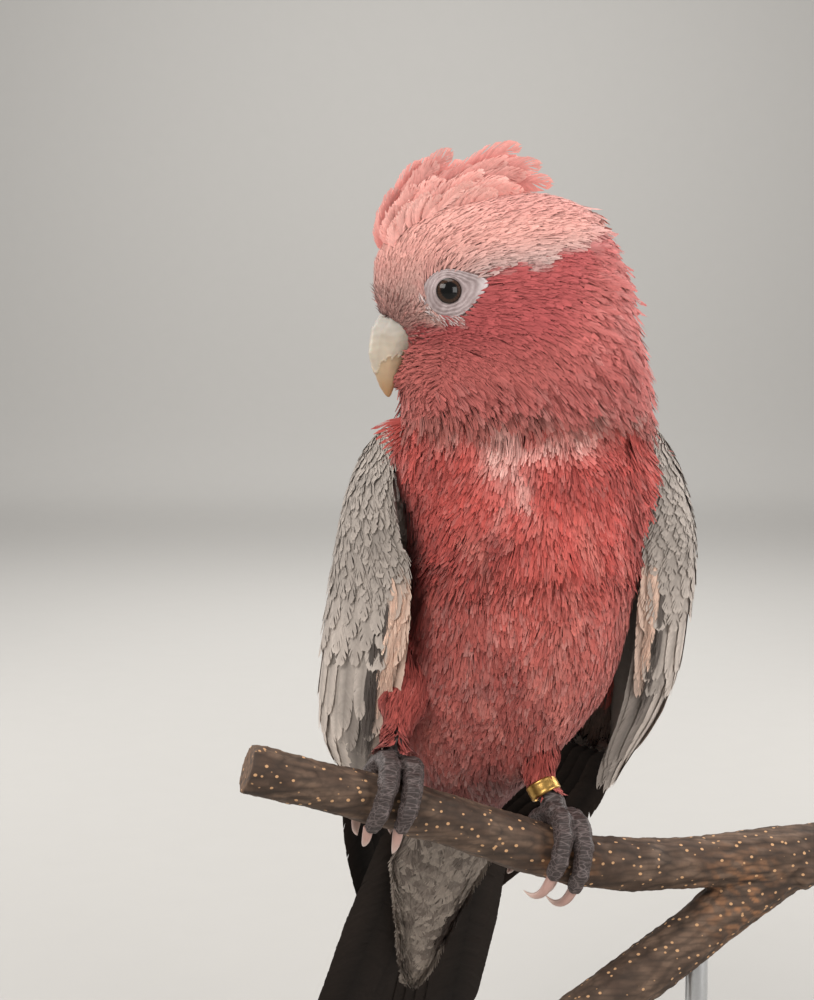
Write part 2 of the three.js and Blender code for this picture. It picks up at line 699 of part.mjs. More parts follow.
const wings = {
  right: without(wingSolid(rightWingRails, false), bodyRoom),
  left: without(wingSolid(leftWingRails, true), bodyRoom),
};
const wingRooms = { right: swollen(wings.right), left: swollen(wings.left) };
const tail = without(tailSolid(), bodyRoom);
const undertail = without(undertailSolid(), bodyRoom);
const rightPrimaries = without(primariesSolid(rightPrimaryRun), bodyRoom);
const leftPrimaries = without(primariesSolid(leftPrimaryRun), bodyRoom);
addPiece('wing_right', wings.right, 'wingFeather');
addPiece('wing_left', wings.left, 'wingFeather');
addPiece('primaries_right', rightPrimaries, 'darkFeather');
addPiece('primaries_left', leftPrimaries, 'darkFeather');
addPiece('tail', tail, 'darkFeather');
addPiece('undertail_coverts', undertail, 'undertailFeather');

for (const [side, foot] of Object.entries(feet)) {
  const cutters = [bodyRoom, footRooms[side], footSolids[side], wingRooms[side], branchRoom];
  addPiece(`thigh_${side}`, without(thighSolid(foot, foot.hipLean), ...cutters), 'breastFeather');
  addPiece(`foot_${side}`, footSolids[side], 'foot');
  for (const toe of toePlan) {
    addPiece(`claw_${side}_${toe.name}`, clawSolid(foot, toe), 'claw');
  }
}
addPiece('leg_ring', legRing(), 'ring');

const rodFoot = baseSize.height - 7; // the rod is let into the base
const rodTop = rodPlace.z + 1;
const rodHoles = uprightCylinder(rodRadius + seam, rodFoot - seam, rodTop + seam);
addPiece('perch_branch', without(branchWhole, rodHoles), 'bark');
addPiece('stand_base', without(standBase(), rodHoles), 'stand');
addPiece('stand_rod', uprightCylinder(rodRadius, rodFoot, rodTop), 'steel');
addPiece('stand_collar', collarSolid(), 'steel');

export default group;
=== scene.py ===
# A life-size galah on a forked cut branch, with a plain display stand.
# Metres, +Z up. The chest faces -Y and turns a little to +X; the bill points to -X.
import math
import bpy
import numpy as np
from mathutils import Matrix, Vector
from mathutils.bvhtree import BVHTree
from mathutils.kdtree import KDTree


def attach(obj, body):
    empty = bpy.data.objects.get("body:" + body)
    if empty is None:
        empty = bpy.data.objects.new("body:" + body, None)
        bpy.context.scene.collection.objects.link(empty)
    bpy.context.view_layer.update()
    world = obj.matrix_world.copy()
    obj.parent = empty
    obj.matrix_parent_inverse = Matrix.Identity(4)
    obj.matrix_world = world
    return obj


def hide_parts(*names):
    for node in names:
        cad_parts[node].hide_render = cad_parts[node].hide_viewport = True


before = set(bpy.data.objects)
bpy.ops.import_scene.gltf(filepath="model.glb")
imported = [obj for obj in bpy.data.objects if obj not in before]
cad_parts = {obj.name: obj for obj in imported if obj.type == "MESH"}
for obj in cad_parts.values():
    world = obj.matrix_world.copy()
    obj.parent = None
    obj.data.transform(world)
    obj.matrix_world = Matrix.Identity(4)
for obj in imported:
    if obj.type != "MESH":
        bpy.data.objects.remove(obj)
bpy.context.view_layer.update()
mm = 0.001
dice = np.random.default_rng(31)
upward = np.array([0.0, 0.0, 1.0])


def unit(vectors):
    return vectors / np.maximum(np.linalg.norm(vectors, axis=-1, keepdims=True), 1e-9)


def fade(low, high, values):  # 0 below low, 1 above high, smooth between
    share = np.clip((values - low) / (high - low), 0, 1)
    return share * share * (3 - 2 * share)


def mixed(first, second, share):
    share = np.asarray(share)[..., None]
    return np.asarray(first) * (1 - share) + np.asarray(second) * share


def mottle(points, size, seed):  # smooth patches between about -1 and 1
    local = np.random.default_rng(seed)
    waves = local.normal(size=(9, 3)) / size
    turns = local.random(9) * 2 * math.pi
    return np.sin(points @ waves.T * 3.2 + turns).mean(axis=1) * 2.2


def selectOnly(piece):
    bpy.ops.object.select_all(action="DESELECT")
    piece.select_set(True)
    bpy.context.view_layer.objects.active = piece


def applied(piece, kind, **settings):
    selectOnly(piece)
    modifier = piece.modifiers.new(kind.lower(), kind)
    for key, value in settings.items():
        setattr(modifier, key, value)
    bpy.ops.object.modifier_apply(modifier=modifier.name)
    return piece


def copyOf(nodes, name):  # CAD nodes copied, joined and merged into one mesh
    bpy.ops.object.select_all(action="DESELECT")
    copies = []
    for node in nodes:
        copy = bpy.data.objects.new(name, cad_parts[node].data.copy())
        bpy.context.collection.objects.link(copy)
        copy.select_set(True)
        copies.append(copy)
    bpy.context.view_layer.objects.active = copies[0]
    if len(copies) > 1:
        bpy.ops.object.join()
    piece = bpy.context.view_layer.objects.active
    piece.name = name
    bpy.ops.object.mode_set(mode="EDIT")
    bpy.ops.mesh.select_all(action="SELECT")
    bpy.ops.mesh.remove_doubles(threshold=0.02 * mm)
    bpy.ops.object.mode_set(mode="OBJECT")
    piece.data.materials.clear()
    return piece


def softened(nodes, name, grow, voxel, rounds):  # one smooth skin over faceted nodes
    piece = copyOf(nodes, name)
    if grow:
        applied(piece, "DISPLACE", strength=grow, mid_level=0)
    applied(piece, "REMESH", mode="VOXEL", voxel_size=voxel)
    applied(piece, "SMOOTH", factor=0.5, iterations=rounds)
    bpy.ops.object.shade_smooth()
    return piece


def pointsOf(piece):
    flat = np.empty(len(piece.data.vertices) * 3)
    piece.data.vertices.foreach_get("co", flat)
    return flat.reshape(-1, 3)


def vertexNormals(piece):
    flat = np.empty(len(piece.data.vertices) * 3)
    piece.data.vertex_normals.foreach_get("vector", flat)
    return flat.reshape(-1, 3)


def movePoints(piece, points):
    piece.data.vertices.foreach_set("co", points.ravel())
    piece.data.update()


def measured(piece):  # what planting feathers needs to know of a surface
    mesh = piece.data
    mesh.calc_loop_triangles()
    faces = np.empty(len(mesh.loop_triangles) * 3, np.int32)
    mesh.loop_triangles.foreach_get("vertices", faces)
    faces = faces.reshape(-1, 3)
    points = pointsOf(piece)
    normals = unit(vertexNormals(piece)[faces].mean(axis=1))
    tree = BVHTree.FromPolygons(points.tolist(), faces.tolist())
    return {"points": points, "faces": faces, "normals": normals, "tree": tree}


def settle(form, points):  # the nearest places on the surface, and which way it faces there
    found = [form["tree"].find_nearest(Vector(point)) for point in points]
    places = np.array([hit[0] for hit in found])
    return places, form["normals"][[hit[2] for hit in found]]


def paint(piece, colours, name="plume"):
    layer = piece.data.color_attributes.new(name, "FLOAT_COLOR", "POINT")
    layer.data.foreach_set("color", np.column_stack([colours, np.ones(len(colours))]).ravel())


def placed(piece, slot, material, replaces=()):
    piece.data.materials.clear()
    piece.data.materials.append(material)
    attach(piece, "root")
    if replaces:
        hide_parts(*replaces)
    return piece


def grainGroup():  # fine light and dark flecks with matching relief
    group = bpy.data.node_groups.new("fleckGrain", "ShaderNodeTree")
    face = group.interface
    for name, kind in (("Color", "Color"), ("Scale", "Float"), ("Strength", "Float")):
        face.new_socket(name, in_out="INPUT", socket_type=f"NodeSocket{kind}")
    for name, kind in (("Color", "Color"), ("Height", "Float")):
        face.new_socket(name, in_out="OUTPUT", socket_type=f"NodeSocket{kind}")
    nodes, links = group.nodes, group.links
    entry, leave = nodes.new("NodeGroupInput"), nodes.new("NodeGroupOutput")
    place = nodes.new("ShaderNodeTexCoord")
    noise = nodes.new("ShaderNodeTexNoise")
    noise.inputs["Detail"].default_value = 4
    links.new(place.outputs["Object"], noise.inputs["Vector"])
    links.new(entry.outputs["Scale"], noise.inputs["Scale"])
    centred, sized = nodes.new("ShaderNodeMath"), nodes.new("ShaderNodeMath")
    centred.operation, sized.operation = "SUBTRACT", "MULTIPLY_ADD"
    centred.inputs[1].default_value, sized.inputs[2].default_value = 0.5, 1
    links.new(noise.outputs["Fac"], centred.inputs[0])
    links.new(centred.outputs[0], sized.inputs[0])
    links.new(entry.outputs["Strength"], sized.inputs[1])
    tinted = nodes.new("ShaderNodeVectorMath")
    tinted.operation = "SCALE"
    links.new(entry.outputs["Color"], tinted.inputs[0])
    links.new(sized.outputs[0], tinted.inputs["Scale"])
    links.new(tinted.outputs[0], leave.inputs["Color"])
    links.new(noise.outputs["Fac"], leave.inputs["Height"])
    return group


fleckGrain = grainGroup()


def startMaterial(name, roughness, **shader):
    material = bpy.data.materials.new(name)
    material.use_nodes = True
    surface = material.node_tree.nodes["Principled BSDF"]
    surface.inputs["Roughness"].default_value = roughness
    for socket, value in shader.items():
        surface.inputs[socket.replace("_", " ")].default_value = value
    return material, surface, material.node_tree.nodes, material.node_tree.links


def paintedColour(nodes):  # the colour painted on the mesh
    layer = nodes.new("ShaderNodeAttribute")
    layer.attribute_name = "plume"
    return layer.outputs["Color"]


def fleckedMaterial(name, roughness, grain, strength, bump, depth=0.3, colour=None, **shader):
    material, surface, nodes, links = startMaterial(name, roughness, **shader)
    flecks, relief = nodes.new("ShaderNodeGroup"), nodes.new("ShaderNodeBump")
    flecks.node_tree = fleckGrain
    flecks.inputs["Scale"].default_value = grain
    flecks.inputs["Strength"].default_value = strength
    if colour:
        flecks.inputs["Color"].default_value = (*colour, 1)
    else:
        links.new(paintedColour(nodes), flecks.inputs["Color"])
    relief.inputs["Strength"].default_value = bump
    relief.inputs["Distance"].default_value = depth * mm
    links.new(flecks.outputs["Color"], surface.inputs["Base Color"])
    links.new(flecks.outputs["Height"], relief.inputs["Height"])
    links.new(relief.outputs["Normal"], surface.inputs["Normal"])
    return material


# roughness, then the grain's scale, its strength in the colour and its strength as relief
downMaterial = fleckedMaterial("roseDown", 0.85, 900, 0.35, 0.25, Specular_IOR_Level=0.2,
                               Sheen_Weight=0.12, Sheen_Roughness=0.6)
vaneMaterial = fleckedMaterial("greyVane", 0.7, 700, 0.3, 0.2, Specular_IOR_Level=0.3)
darkMaterial = fleckedMaterial("darkVane", 0.62, 500, 0.4, 0.2, Specular_IOR_Level=0.14)
hornMaterial = fleckedMaterial("billHorn", 0.42, 260, 0.12, 0.25, Specular_IOR_Level=0.45,
                               Subsurface_Weight=0.15, Subsurface_Scale=0.002)
clawMaterial = fleckedMaterial("clawHorn", 0.32, 500, 0.2, 0.15, Specular_IOR_Level=0.5)
lidMaterial = fleckedMaterial("bareLid", 0.55, 1600, 0.3, 0.5, Specular_IOR_Level=0.4)
scaleMaterial = fleckedMaterial("scaledSkin", 0.55, 1500, 0.4, 0.3, Specular_IOR_Level=0.4)
barkMaterial = fleckedMaterial("bark", 0.72, 420, 0.6, 0.7, Specular_IOR_Level=0.3)
brassMaterial = fleckedMaterial("wornBrass", 0.34, 900, 0.7, 0.1, 0.1, (0.5, 0.3, 0.09), Metallic=1.0)
boardMaterial = fleckedMaterial("paintedBoard", 0.5, 300, 0.1, 0.1, 0.1, (0.78, 0.76, 0.72))
steelMaterial = fleckedMaterial("brushedSteel", 0.3, 900, 0.2, 0.1, 0.1, (0.55, 0.56, 0.57), Metallic=1.0)
floorMaterial = fleckedMaterial("paleFloor", 0.85, 40, 0.03, 0.1, 0.1, (0.4, 0.39, 0.375))


def addCells(material, size, kind, stretch=(1, 1, 1)):  # cells across the surface, of a size in millimetres
    nodes, links = material.node_tree.nodes, material.node_tree.links
    place, sized, cells = (nodes.new(f"ShaderNode{part}") for part in ("TexCoord", "Mapping", "TexVoronoi"))
    sized.inputs["Scale"].default_value = stretch
    cells.feature = kind
    cells.inputs["Scale"].default_value = 1000 / size
    links.new(place.outputs["Object"], sized.inputs["Vector"])
    links.new(sized.outputs["Vector"], cells.inputs["Vector"])
    return cells.outputs["Distance"]


def tinted(material, mask, low, high, colour, flip=False):  # lays a colour over the paint where the mask says
    nodes, links = material.node_tree.nodes, material.node_tree.links
    surface = nodes["Principled BSDF"]
    before = surface.inputs["Base Color"].links[0].from_socket
    span, blend = nodes.new("ShaderNodeMapRange"), nodes.new("ShaderNodeMix")
    span.inputs["From Min"].default_value, span.inputs["From Max"].default_value = low, high
    span.inputs["To Min"].default_value, span.inputs["To Max"].default_value = (1, 0) if flip else (0, 1)
    blend.data_type = "RGBA"
    blend.inputs["B"].default_value = (*colour, 1)
    links.new(mask, span.inputs["Value"])
    links.new(span.outputs["Result"], blend.inputs["Factor"])
    links.new(before, blend.inputs["A"])
    links.new(blend.outputs["Result"], surface.inputs["Base Color"])
    return span.outputs["Result"]


def addRelief(material, height, strength, distance):
    nodes, links = material.node_tree.nodes, material.node_tree.links
    surface, bump = nodes["Principled BSDF"], nodes.new("ShaderNodeBump")
    bump.inputs["Strength"].default_value = strength
    bump.inputs["Distance"].default_value = distance * mm
    links.new(surface.inputs["Normal"].links[0].from_socket, bump.inputs["Normal"])
    links.new(height, bump.inputs["Height"])
    links.new(bump.outputs["Normal"], surface.inputs["Normal"])


scutes = {"size": 1.4, "stretch": (0.2, 1, 1), "groove": (0.01, 0.09), "dark": (0.14, 0.108, 0.104)}
bark = {"wrinkle": 1.9, "wrinkleStretch": (0.1, 1, 1), "furrow": (0.35, 0.9), "dark": (0.045, 0.03, 0.022),
        "pore": 2.9, "poreStretch": (0.8, 1, 1), "poreEdge": (0.15, 0.2), "cork": (0.6, 0.35, 0.18)}
plates = addCells(scaleMaterial, scutes["size"], "DISTANCE_TO_EDGE", scutes["stretch"])
tinted(scaleMaterial, plates, *scutes["groove"], scutes["dark"], flip=True)
addRelief(scaleMaterial, plates, 0.7, 0.4)
wrinkles = addCells(barkMaterial, bark["wrinkle"], "F1", bark["wrinkleStretch"])
tinted(barkMaterial, wrinkles, *bark["furrow"], bark["dark"])
addRelief(barkMaterial, wrinkles, 0.35, -0.35)
pores = addCells(barkMaterial, bark["pore"], "F1", bark["poreStretch"])
addRelief(barkMaterial, tinted(barkMaterial, pores, *bark["poreEdge"], bark["cork"], flip=True), 0.5, 0.3)
print("materials ready")


head = {"centre": np.array([-4, -24.5, 325]) * mm, "yaw": math.radians(8),
        "billRoot": (37, 0, -8), "eye": (22.8, 15.9, 4)}
headForward = np.array([-math.cos(head["yaw"]), -math.sin(head["yaw"]), 0])
headAcross = np.cross(headForward, upward)
bodyYaw = math.radians(15)
bodyAcross = np.array([math.cos(bodyYaw), math.sin(bodyYaw), 0])
chestForward = np.array([math.sin(bodyYaw), -math.cos(bodyYaw), 0])


def inHead(forward, across, height):
    return (head["centre"] + headForward * forward * mm + headAcross * across * mm
            + upward * height * mm)


def headPlace(points):  # forward, across and height in the head, in millimetres
    away = (points - head["centre"]) / mm
    return away @ headForward, away @ headAcross, away[:, 2]


def toBillRoot(points):
    return np.linalg.norm(points - inHead(*head["billRoot"]), axis=1) / mm


plumage = {  # linear colours
    "crown": (0.8, 0.4, 0.345), "forehead": (0.56, 0.33, 0.29), "brow": (0.5, 0.37, 0.345),
    "lores": (0.34, 0.155, 0.135), "cheek": (0.47, 0.095, 0.095), "cheekLow": (0.52, 0.135, 0.12),
    "chin": (0.58, 0.16, 0.14), "ruff": (0.4, 0.12, 0.1), "ruffGrey": (0.44, 0.22, 0.19),
    "nape": (0.6, 0.16, 0.145), "breast": (0.69, 0.112, 0.094), "breastPaleAndHighlight": (0.98, 0.52, 0.46),
    "belly": (0.5, 0.12, 0.1), "bellyLow": (0.36, 0.07, 0.058), "mantle": (0.36, 0.31, 0.28),
    "vent": (0.36, 0.3, 0.27), "duskAndShade": (0.27, 0.05, 0.045), "flushAndTopShade": (0.62, 0.25, 0.225),
    "paintedGlow": (0.66, 0.135, 0.11), "rosy": (0.74, 0.22, 0.18), "shadow": (0.12, 0.022, 0.018),
}
capEdge = {"forward": (-40, -26, -13, -2.4, 11.6, 17, 45), "height": (26, 20, 14, 10.7, 7.5, -5, -7)}
chestPatches = {  # soft ovals: how strong, how far aside, how high, half width, half height, lean
    # pale ovals: paler feathers on the upper breast, partly a painted highlight where the light falls
    "pale": ((1.5, -7, 278, 6, 10, 0), (0.8, 0, 264, 2.8, 9, -0.3), (1.0, 16, 279, 11, 5.5, 1.2),
             (0.55, -25, 281, 6, 4, 0), (0.25, -8, 254, 2, 9, 0.5), (0.3, -1, 231, 2.5, 3, 0)),
    # dark ovals: painted shade, down the flanks beside the wings and over parts of the breast and belly
    "dark": ((0.55, 20, 263, 15, 7, -0.4), (0.45, -26, 271, 8, 6, 0), (0.55, -6, 245, 14, 6, 0),
             (0.5, -34, 214, 8, 40, 0), (0.3, 42, 210, 8, 45, 0), (0.35, -5, 190, 20, 14, 0),
             (0.45, -19, 236, 13, 11, 0), (0.4, -13, 206, 15, 10, 0)),
    # glow ovals: painted light, a brighter red on the front of the belly
    "paintedGlow": ((0.6, 3, 222, 11, 20, 0), (0.5, 28, 212, 9, 16, 0)),
}
axisLevels = {  # where the middle of the body runs, from the rump up, in millimetres
    "z": (130, 158, 188, 228, 268, 300, 325, 360), "x": (-19.5, -12, -4, 2.5, 4.5, 2.5, -4, -2),
    "y": (49, 35, 24, 12, -2, -19.5, -24.5, -22.5),
}


def fromAxis(points):
    axis = np.column_stack([
        np.interp(points[:, 2] / mm, axisLevels["z"], axisLevels["x"]),
        np.interp(points[:, 2] / mm, axisLevels["z"], axisLevels["y"]),
        points[:, 2] / mm])
    return points / mm - axis


def capShare(points):  # 1 on the pale cap, 0 on the rose cheek and nape
    forward, across, height = headPlace(points)
    edge = np.interp(forward, capEdge["forward"], capEdge["height"])
    return fade(-1.8, 1.8, height - edge + 1.8 * mottle(points, 8 * mm, 5) + 1.2 * mottle(points, 3 * mm, 6))


def layered(base, *layers):  # tones laid one over another, each with how much of it shows
    colour = plumage[base]
    for tone, share in layers:
        colour = mixed(colour, plumage[tone], share)
    return colour


def headColour(points):
    forward, across, height = headPlace(points)
    # the top of the crown is painted a deeper pink as painted shade, toning down the light from above; the
    # mottled rose patches added next are the plumage's own
    flushAndTopShade = 0.55 * fade(24, 32, height) * fade(22, 0, forward)
    flushAndTopShade = flushAndTopShade + 0.35 * fade(0.1, 1.1, mottle(points, 5 * mm, 7))
    grey = fade(0.15, 0.9, mottle(points, 14 * mm, 8)) * fade(-26, -40, height) * fade(5, -20, forward)
    cap = layered("brow",
                  ("forehead", fade(8, 26, forward)),
                  ("crown", fade(8, 24, height + 0.15 * forward)),
                  ("flushAndTopShade", flushAndTopShade.clip(0, 0.7)),
                  ("lores", fade(19, 8, toBillRoot(points)) * 0.8))
    rose = layered("cheek",
                   ("cheekLow", fade(-6, -26, height)),
                   ("chin", fade(14, 34, forward) * fade(-8, -16, height)),
                   ("nape", fade(-12, -32, forward + 0.5 * height)),
                   ("ruff", fade(-34, -44, height) * 0.8),
                   ("ruffGrey", grey))
    return mixed(rose, cap, capShare(points))


def patches(points, kind):
    x, height = points[:, 0] / mm, points[:, 2] / mm
    total = 0
    for strength, aside, level, wide, tall, lean in chestPatches[kind]:
        across = x - aside - lean * (height - level)
        total = total + strength * np.exp(-(across / wide) ** 2 - ((height - level) / tall) ** 2)
    return total


def trunkColour(points):
    ahead = fromAxis(points) @ chestForward
    height = points[:, 2] / mm
    front = fade(0, 10, ahead)
    rag = 1 + 0.6 * mottle(points, 5 * mm, 31)
    dusk = 0.35 * fade(0.1, 1.1, mottle(points, 20 * mm, 3))
    rosy = fade(0.0, 1.2, mottle(points, 12 * mm, 12)) * fade(262, 240, height)
    return layered("bellyLow",
                   ("belly", fade(146, 190, height)),
                   ("breast", fade(212, 246, height) * 0.9),
                   # the pale ovals: paler feathers with a painted highlight
                   ("breastPaleAndHighlight", (patches(points, "pale") * rag * front).clip(0, 1)),
                   # painted shade from the dark ovals, with random dusky mottling that is the plumage's own
                   ("duskAndShade", (patches(points, "dark") * rag + dusk).clip(0, 0.7)),
                   # painted light from the glow ovals, on the front only
                   ("paintedGlow", patches(points, "paintedGlow") * front),
                   ("rosy", rosy * 0.7),
                   ("shadow", fade(168, 153, height) * fade(4, 14, ahead) * 0.9),
                   ("mantle", fade(2, -10, ahead) * fade(292, 276, height)),
                   ("vent", fade(158, 148, height) * fade(10, -4, ahead)))


def bodyColour(points):
    return mixed(trunkColour(points), headColour(points), fade(282, 288, points[:, 2] / mm))


def bodyPatch(points):  # an unwrap round the body's own axis, from rump to crown
    away = fromAxis(points)
    turn = np.arctan2(away[:, 1], away[:, 0]) / (2 * math.pi) + 0.5
    top = fade(336, 362, points[:, 2] / mm) * (45 - np.hypot(away[:, 0], away[:, 1])).clip(0)
    rise = (points[:, 2] / mm - 130 + top) / 290
    return np.column_stack([0.02 + 0.96 * turn, 0.02 + 0.96 * rise.clip(0, 1)])


def scatter(form, gapAt, keep, crowd=2.6):  # roots spread evenly over a surface
    corners = form["points"][form["faces"]]
    middle = corners.mean(axis=1)
    spans = corners[:, 1:] - corners[:, :1]
    area = np.linalg.norm(np.cross(spans[:, 0], spans[:, 1]), axis=1) / 2
    wanted = area / (gapAt(middle) * mm) ** 2 * crowd * keep(middle)
    count = np.floor(wanted + dice.random(len(wanted))).astype(int)
    which = dice.permutation(np.repeat(np.arange(len(count)), count))
    first, second = dice.random((2, len(which), 1))
    over = first + second > 1
    first, second = np.where(over, 1 - first, first), np.where(over, 1 - second, second)
    picked = corners[which]
    points = picked[:, 0] + first * (picked[:, 1] - picked[:, 0]) + second * (picked[:, 2] - picked[:, 0])
    tree = KDTree(len(points))
    for index, point in enumerate(points):
        tree.insert(point, index)
    tree.balance()
    gone = np.zeros(len(points), bool)
    for index, gap in enumerate(gapAt(points) * mm):
        if not gone[index]:
            for found in tree.find_range(points[index], gap):
                gone[found[1]] |= found[1] != index
    return points[~gone]


def trace(form, roots, flow, lengths, steps):  # each feather's line over the surface
    here, facing = settle(form, roots)
    path, normals = [here], [facing]
    stride = (lengths * mm / steps)[:, None]
    for _ in range(steps):
        way = flow(here, facing)
        way = unit(way - facing * (way * facing).sum(axis=1, keepdims=True))
        here, facing = settle(form, here + way * stride)
        path.append(here)
        normals.append(facing)
    return np.stack(path, axis=1), np.stack(normals, axis=1)


patchSize = 0.003  # each feather's patch on the unwrap
outlines = {  # half width of a feather from root to tip
    "round": ((0, 0.2, 0.5, 0.8, 0.93, 1), (0.35, 0.75, 1, 0.92, 0.62, 0.12)),
    "pointed": ((0, 0.25, 0.55, 0.8, 0.93, 1), (0.4, 0.9, 0.95, 0.6, 0.3, 0.03)),
    "covert": ((0, 0.15, 0.5, 0.78, 0.9, 0.96, 1), (0.55, 0.85, 1, 0.98, 0.8, 0.55, 0.2)),
    "blade": ((0, 0.12, 0.5, 0.86, 0.94, 0.98, 1), (0.5, 0.85, 1, 0.94, 0.74, 0.45, 0.15)),
    "crest": ((0, 0.15, 0.45, 0.75, 0.9, 0.97, 1), (0.35, 0.65, 1, 0.96, 0.7, 0.4, 0.12)),
    "slim": ((0, 0.1, 0.4, 0.75, 0.9, 0.97, 1), (0.5, 0.85, 1, 0.9, 0.66, 0.36, 0.1)),
}


def featherMesh(name, points, faces, shading, colour, spot):
    mesh = bpy.data.meshes.new(name)
    mesh.vertices.add(points.shape[0] * points.shape[1])
    mesh.vertices.foreach_set("co", points.ravel())
    mesh.loops.add(faces.size)
    mesh.loops.foreach_set("vertex_index", faces.ravel().astype(np.int32))
    mesh.polygons.add(faces.size // 3)
    mesh.polygons.foreach_set("loop_start", np.arange(0, faces.size, 3, dtype=np.int32))
    mesh.update(calc_edges=True)
    mesh.shade_smooth()
    mesh.normals_split_custom_set_from_vertices(shading.reshape(-1, 3).tolist())
    unwrap = mesh.uv_layers.new(name="OFBake")
    unwrap.data.foreach_set("uv", spot.reshape(-1, 2)[faces.ravel()].ravel())
    piece = bpy.data.objects.new(name, mesh)
    bpy.context.collection.objects.link(piece)
    paint(piece, colour.reshape(-1, 3))
    print(name, len(points), "feathers,", faces.size // 3, "triangles")
    return piece


def plumes(name, path, normals, width, look, rootColour, tipColour, patch, edgeColour=None):
    # Every feather is strands in pairs on a shaft: each strand is a root edge, a middle
    # edge and a tip edge, laid along the feather's own line.
    count, steps = path.shape[0], path.shape[1] - 1
    strands = look["strands"]
    begin = np.linspace(look.get("bare", 0.04), 0.95, strands)
    half = look.get("cover", 0.62) * (begin[1] - begin[0])
    tipHalf = half * look["blunt"]
    finish = np.minimum(begin + look["reach"] * (1 - 0.5 * begin), 1 - tipHalf)
    begin, finish = np.tile(begin, 2), np.tile(finish, 2)
    hand = np.repeat([-1.0, 1.0], strands)
    jitter = dice.normal(0, look["fray"], (count, 2 * strands, 2))
    notch = np.where(dice.random((count, 2 * strands)) < look.get("notch", 0), 0.55, 1)
    ends = finish + jitter[:, :, 0] * 0.5
    middle = begin + 0.42 * (finish - begin)
    flat = np.zeros_like(ends)
    along = np.stack([flat + begin - half, flat + begin + half, flat + middle - half,
                      flat + middle + half, ends - tipHalf, ends + tipHalf], axis=-1)
    reachOut = np.interp(along[:, :, 4:], *outlines[look["outline"]])
    reachOut = reachOut * ((1 + jitter[:, :, 1]) * notch)[..., None]
    inner = 0.62 * reachOut.mean(axis=-1)
    across = np.stack([flat, flat, inner, inner, reachOut[:, :, 0], reachOut[:, :, 1]], axis=-1) * hand[:, None]
    along, across = along.reshape(count, -1), across.reshape(count, -1)

    station = np.clip(along, 0, 1.08) * steps
    lower = np.clip(np.floor(station).astype(int), 0, steps - 1)
    share = (station - lower)[..., None]
    row = np.arange(count)[:, None]
    start, stop = path[row, lower], path[row, lower + 1]
    facing = unit(normals[row, lower] * (1 - share) + normals[row, lower + 1] * share)
    onward = unit(stop - start)
    aside = np.cross(onward, facing)
    wide = (np.asarray(width) * mm).reshape(-1, 1)
    lift = np.broadcast_to(np.asarray(look["lift"], float), (count,))[:, None]
    risen = (-look["sink"] * (1 - along.clip(0, 1)) + lift * along.clip(0, 1.1) ** look.get("curl", 3)) * mm
    risen = risen - look["droop"] * across ** 2 * wide + look.get("tilt", 0) * across * wide
    risen = risen + dice.uniform(-0.5, 0.5, (count, 1)) * look["loose"] * mm
    points = start * (1 - share) + stop * share + aside * (across * wide)[..., None] + facing * risen[..., None]

    ruffle = np.repeat(dice.normal(0, look["ruffle"], (count, 2 * strands)), 6, axis=1)
    shading = unit(facing + aside * (across * 2 * look["droop"] + ruffle)[..., None])
    tone = along.clip(0, 1) ** look.get("rootFade", 1.3)
    colour = rootColour[:, None] * (1 - tone[..., None]) + tipColour[:, None] * tone[..., None]
    if edgeColour is not None:
        edge = np.maximum(np.abs(across) ** 5 * 0.7, fade(0.9, 1, along))[..., None]
        colour = colour * (1 - edge) + edgeColour[:, None] * edge
    shaft = np.exp(-(across / 0.08) ** 2) * look.get("shaft", 0)
    streak = np.repeat(dice.normal(1, look["streak"], (count, 2 * strands)), 6, axis=1) * (1 - shaft)
    each = dice.normal(1, look["vary"], (count, 1))
    colour = (colour * (streak * each)[..., None]).clip(0.003, 1)

    corner = np.arange(count * 2 * strands)[:, None] * 6
    right = np.array([0, 2, 3, 0, 3, 1, 2, 4, 5, 2, 5, 3])
    left = np.array([0, 3, 2, 0, 1, 3, 2, 5, 4, 2, 3, 5])
    faces = corner + np.where(np.tile(hand > 0, count)[:, None], right, left)
    spot = np.stack([across * 0.5, along - 0.5], axis=-1) * patchSize + patch[:, None]
    return featherMesh(name, points, faces, shading, colour, spot)


coat = {"depthHead": 1.0, "depthFace": 0.5, "depthBody": 1.9, "depthKnee": 0.1, "depthEye": 1.5,
        "voxel": 1.15, "neck": (280, 300), "face": (30, 14), "collar": 2.2, "collarHeight": 281, "lobe": 1.2,
        "lobeEdge": (240, 232), "neckline": 285, "necklineRise": 9,
        "knees": ((-40.4, -13, 181.6), (-37.5, -6, 189), (9.8, -1.7, 161.5), (6, 2, 168))}
fleshNodes = ("head", "neck", "trunk", "thigh_left", "thigh_right")
body = softened(fleshNodes, "bodySkin", 0.35 * mm, coat["voxel"] * mm, 7)
outer = measured(body)  # before the hollows under the collar and the chest


def kneeShare(points):  # 0 by the knees, where the flesh is a thin cup round the shank
    share = np.ones(len(points))
    for spot in coat["knees"]:
        share = share * fade(9, 14, np.linalg.norm(points / mm - np.array(spot), axis=1))
    return share


def hollows(points):
    away = fromAxis(points)
    front = fade(-4, 8, away @ chestForward) * kneeShare(points) * fade(36, 22, np.abs(away @ bodyAcross - 4))
    height = points[:, 2] / mm
    collar = coat["collar"] * np.exp(-((height - coat["collarHeight"]) / 6) ** 2)
    return (collar + coat["lobe"] * fade(*coat["lobeEdge"], height)) * front


movePoints(body, outer["points"] - vertexNormals(body) * (hollows(outer["points"]) * mm)[:, None])
form = measured(body)


def onlyMeasured(piece):  # a surface that feathers are planted by, and that isn't kept
    surface = measured(piece)
    bpy.data.objects.remove(piece)
    return surface


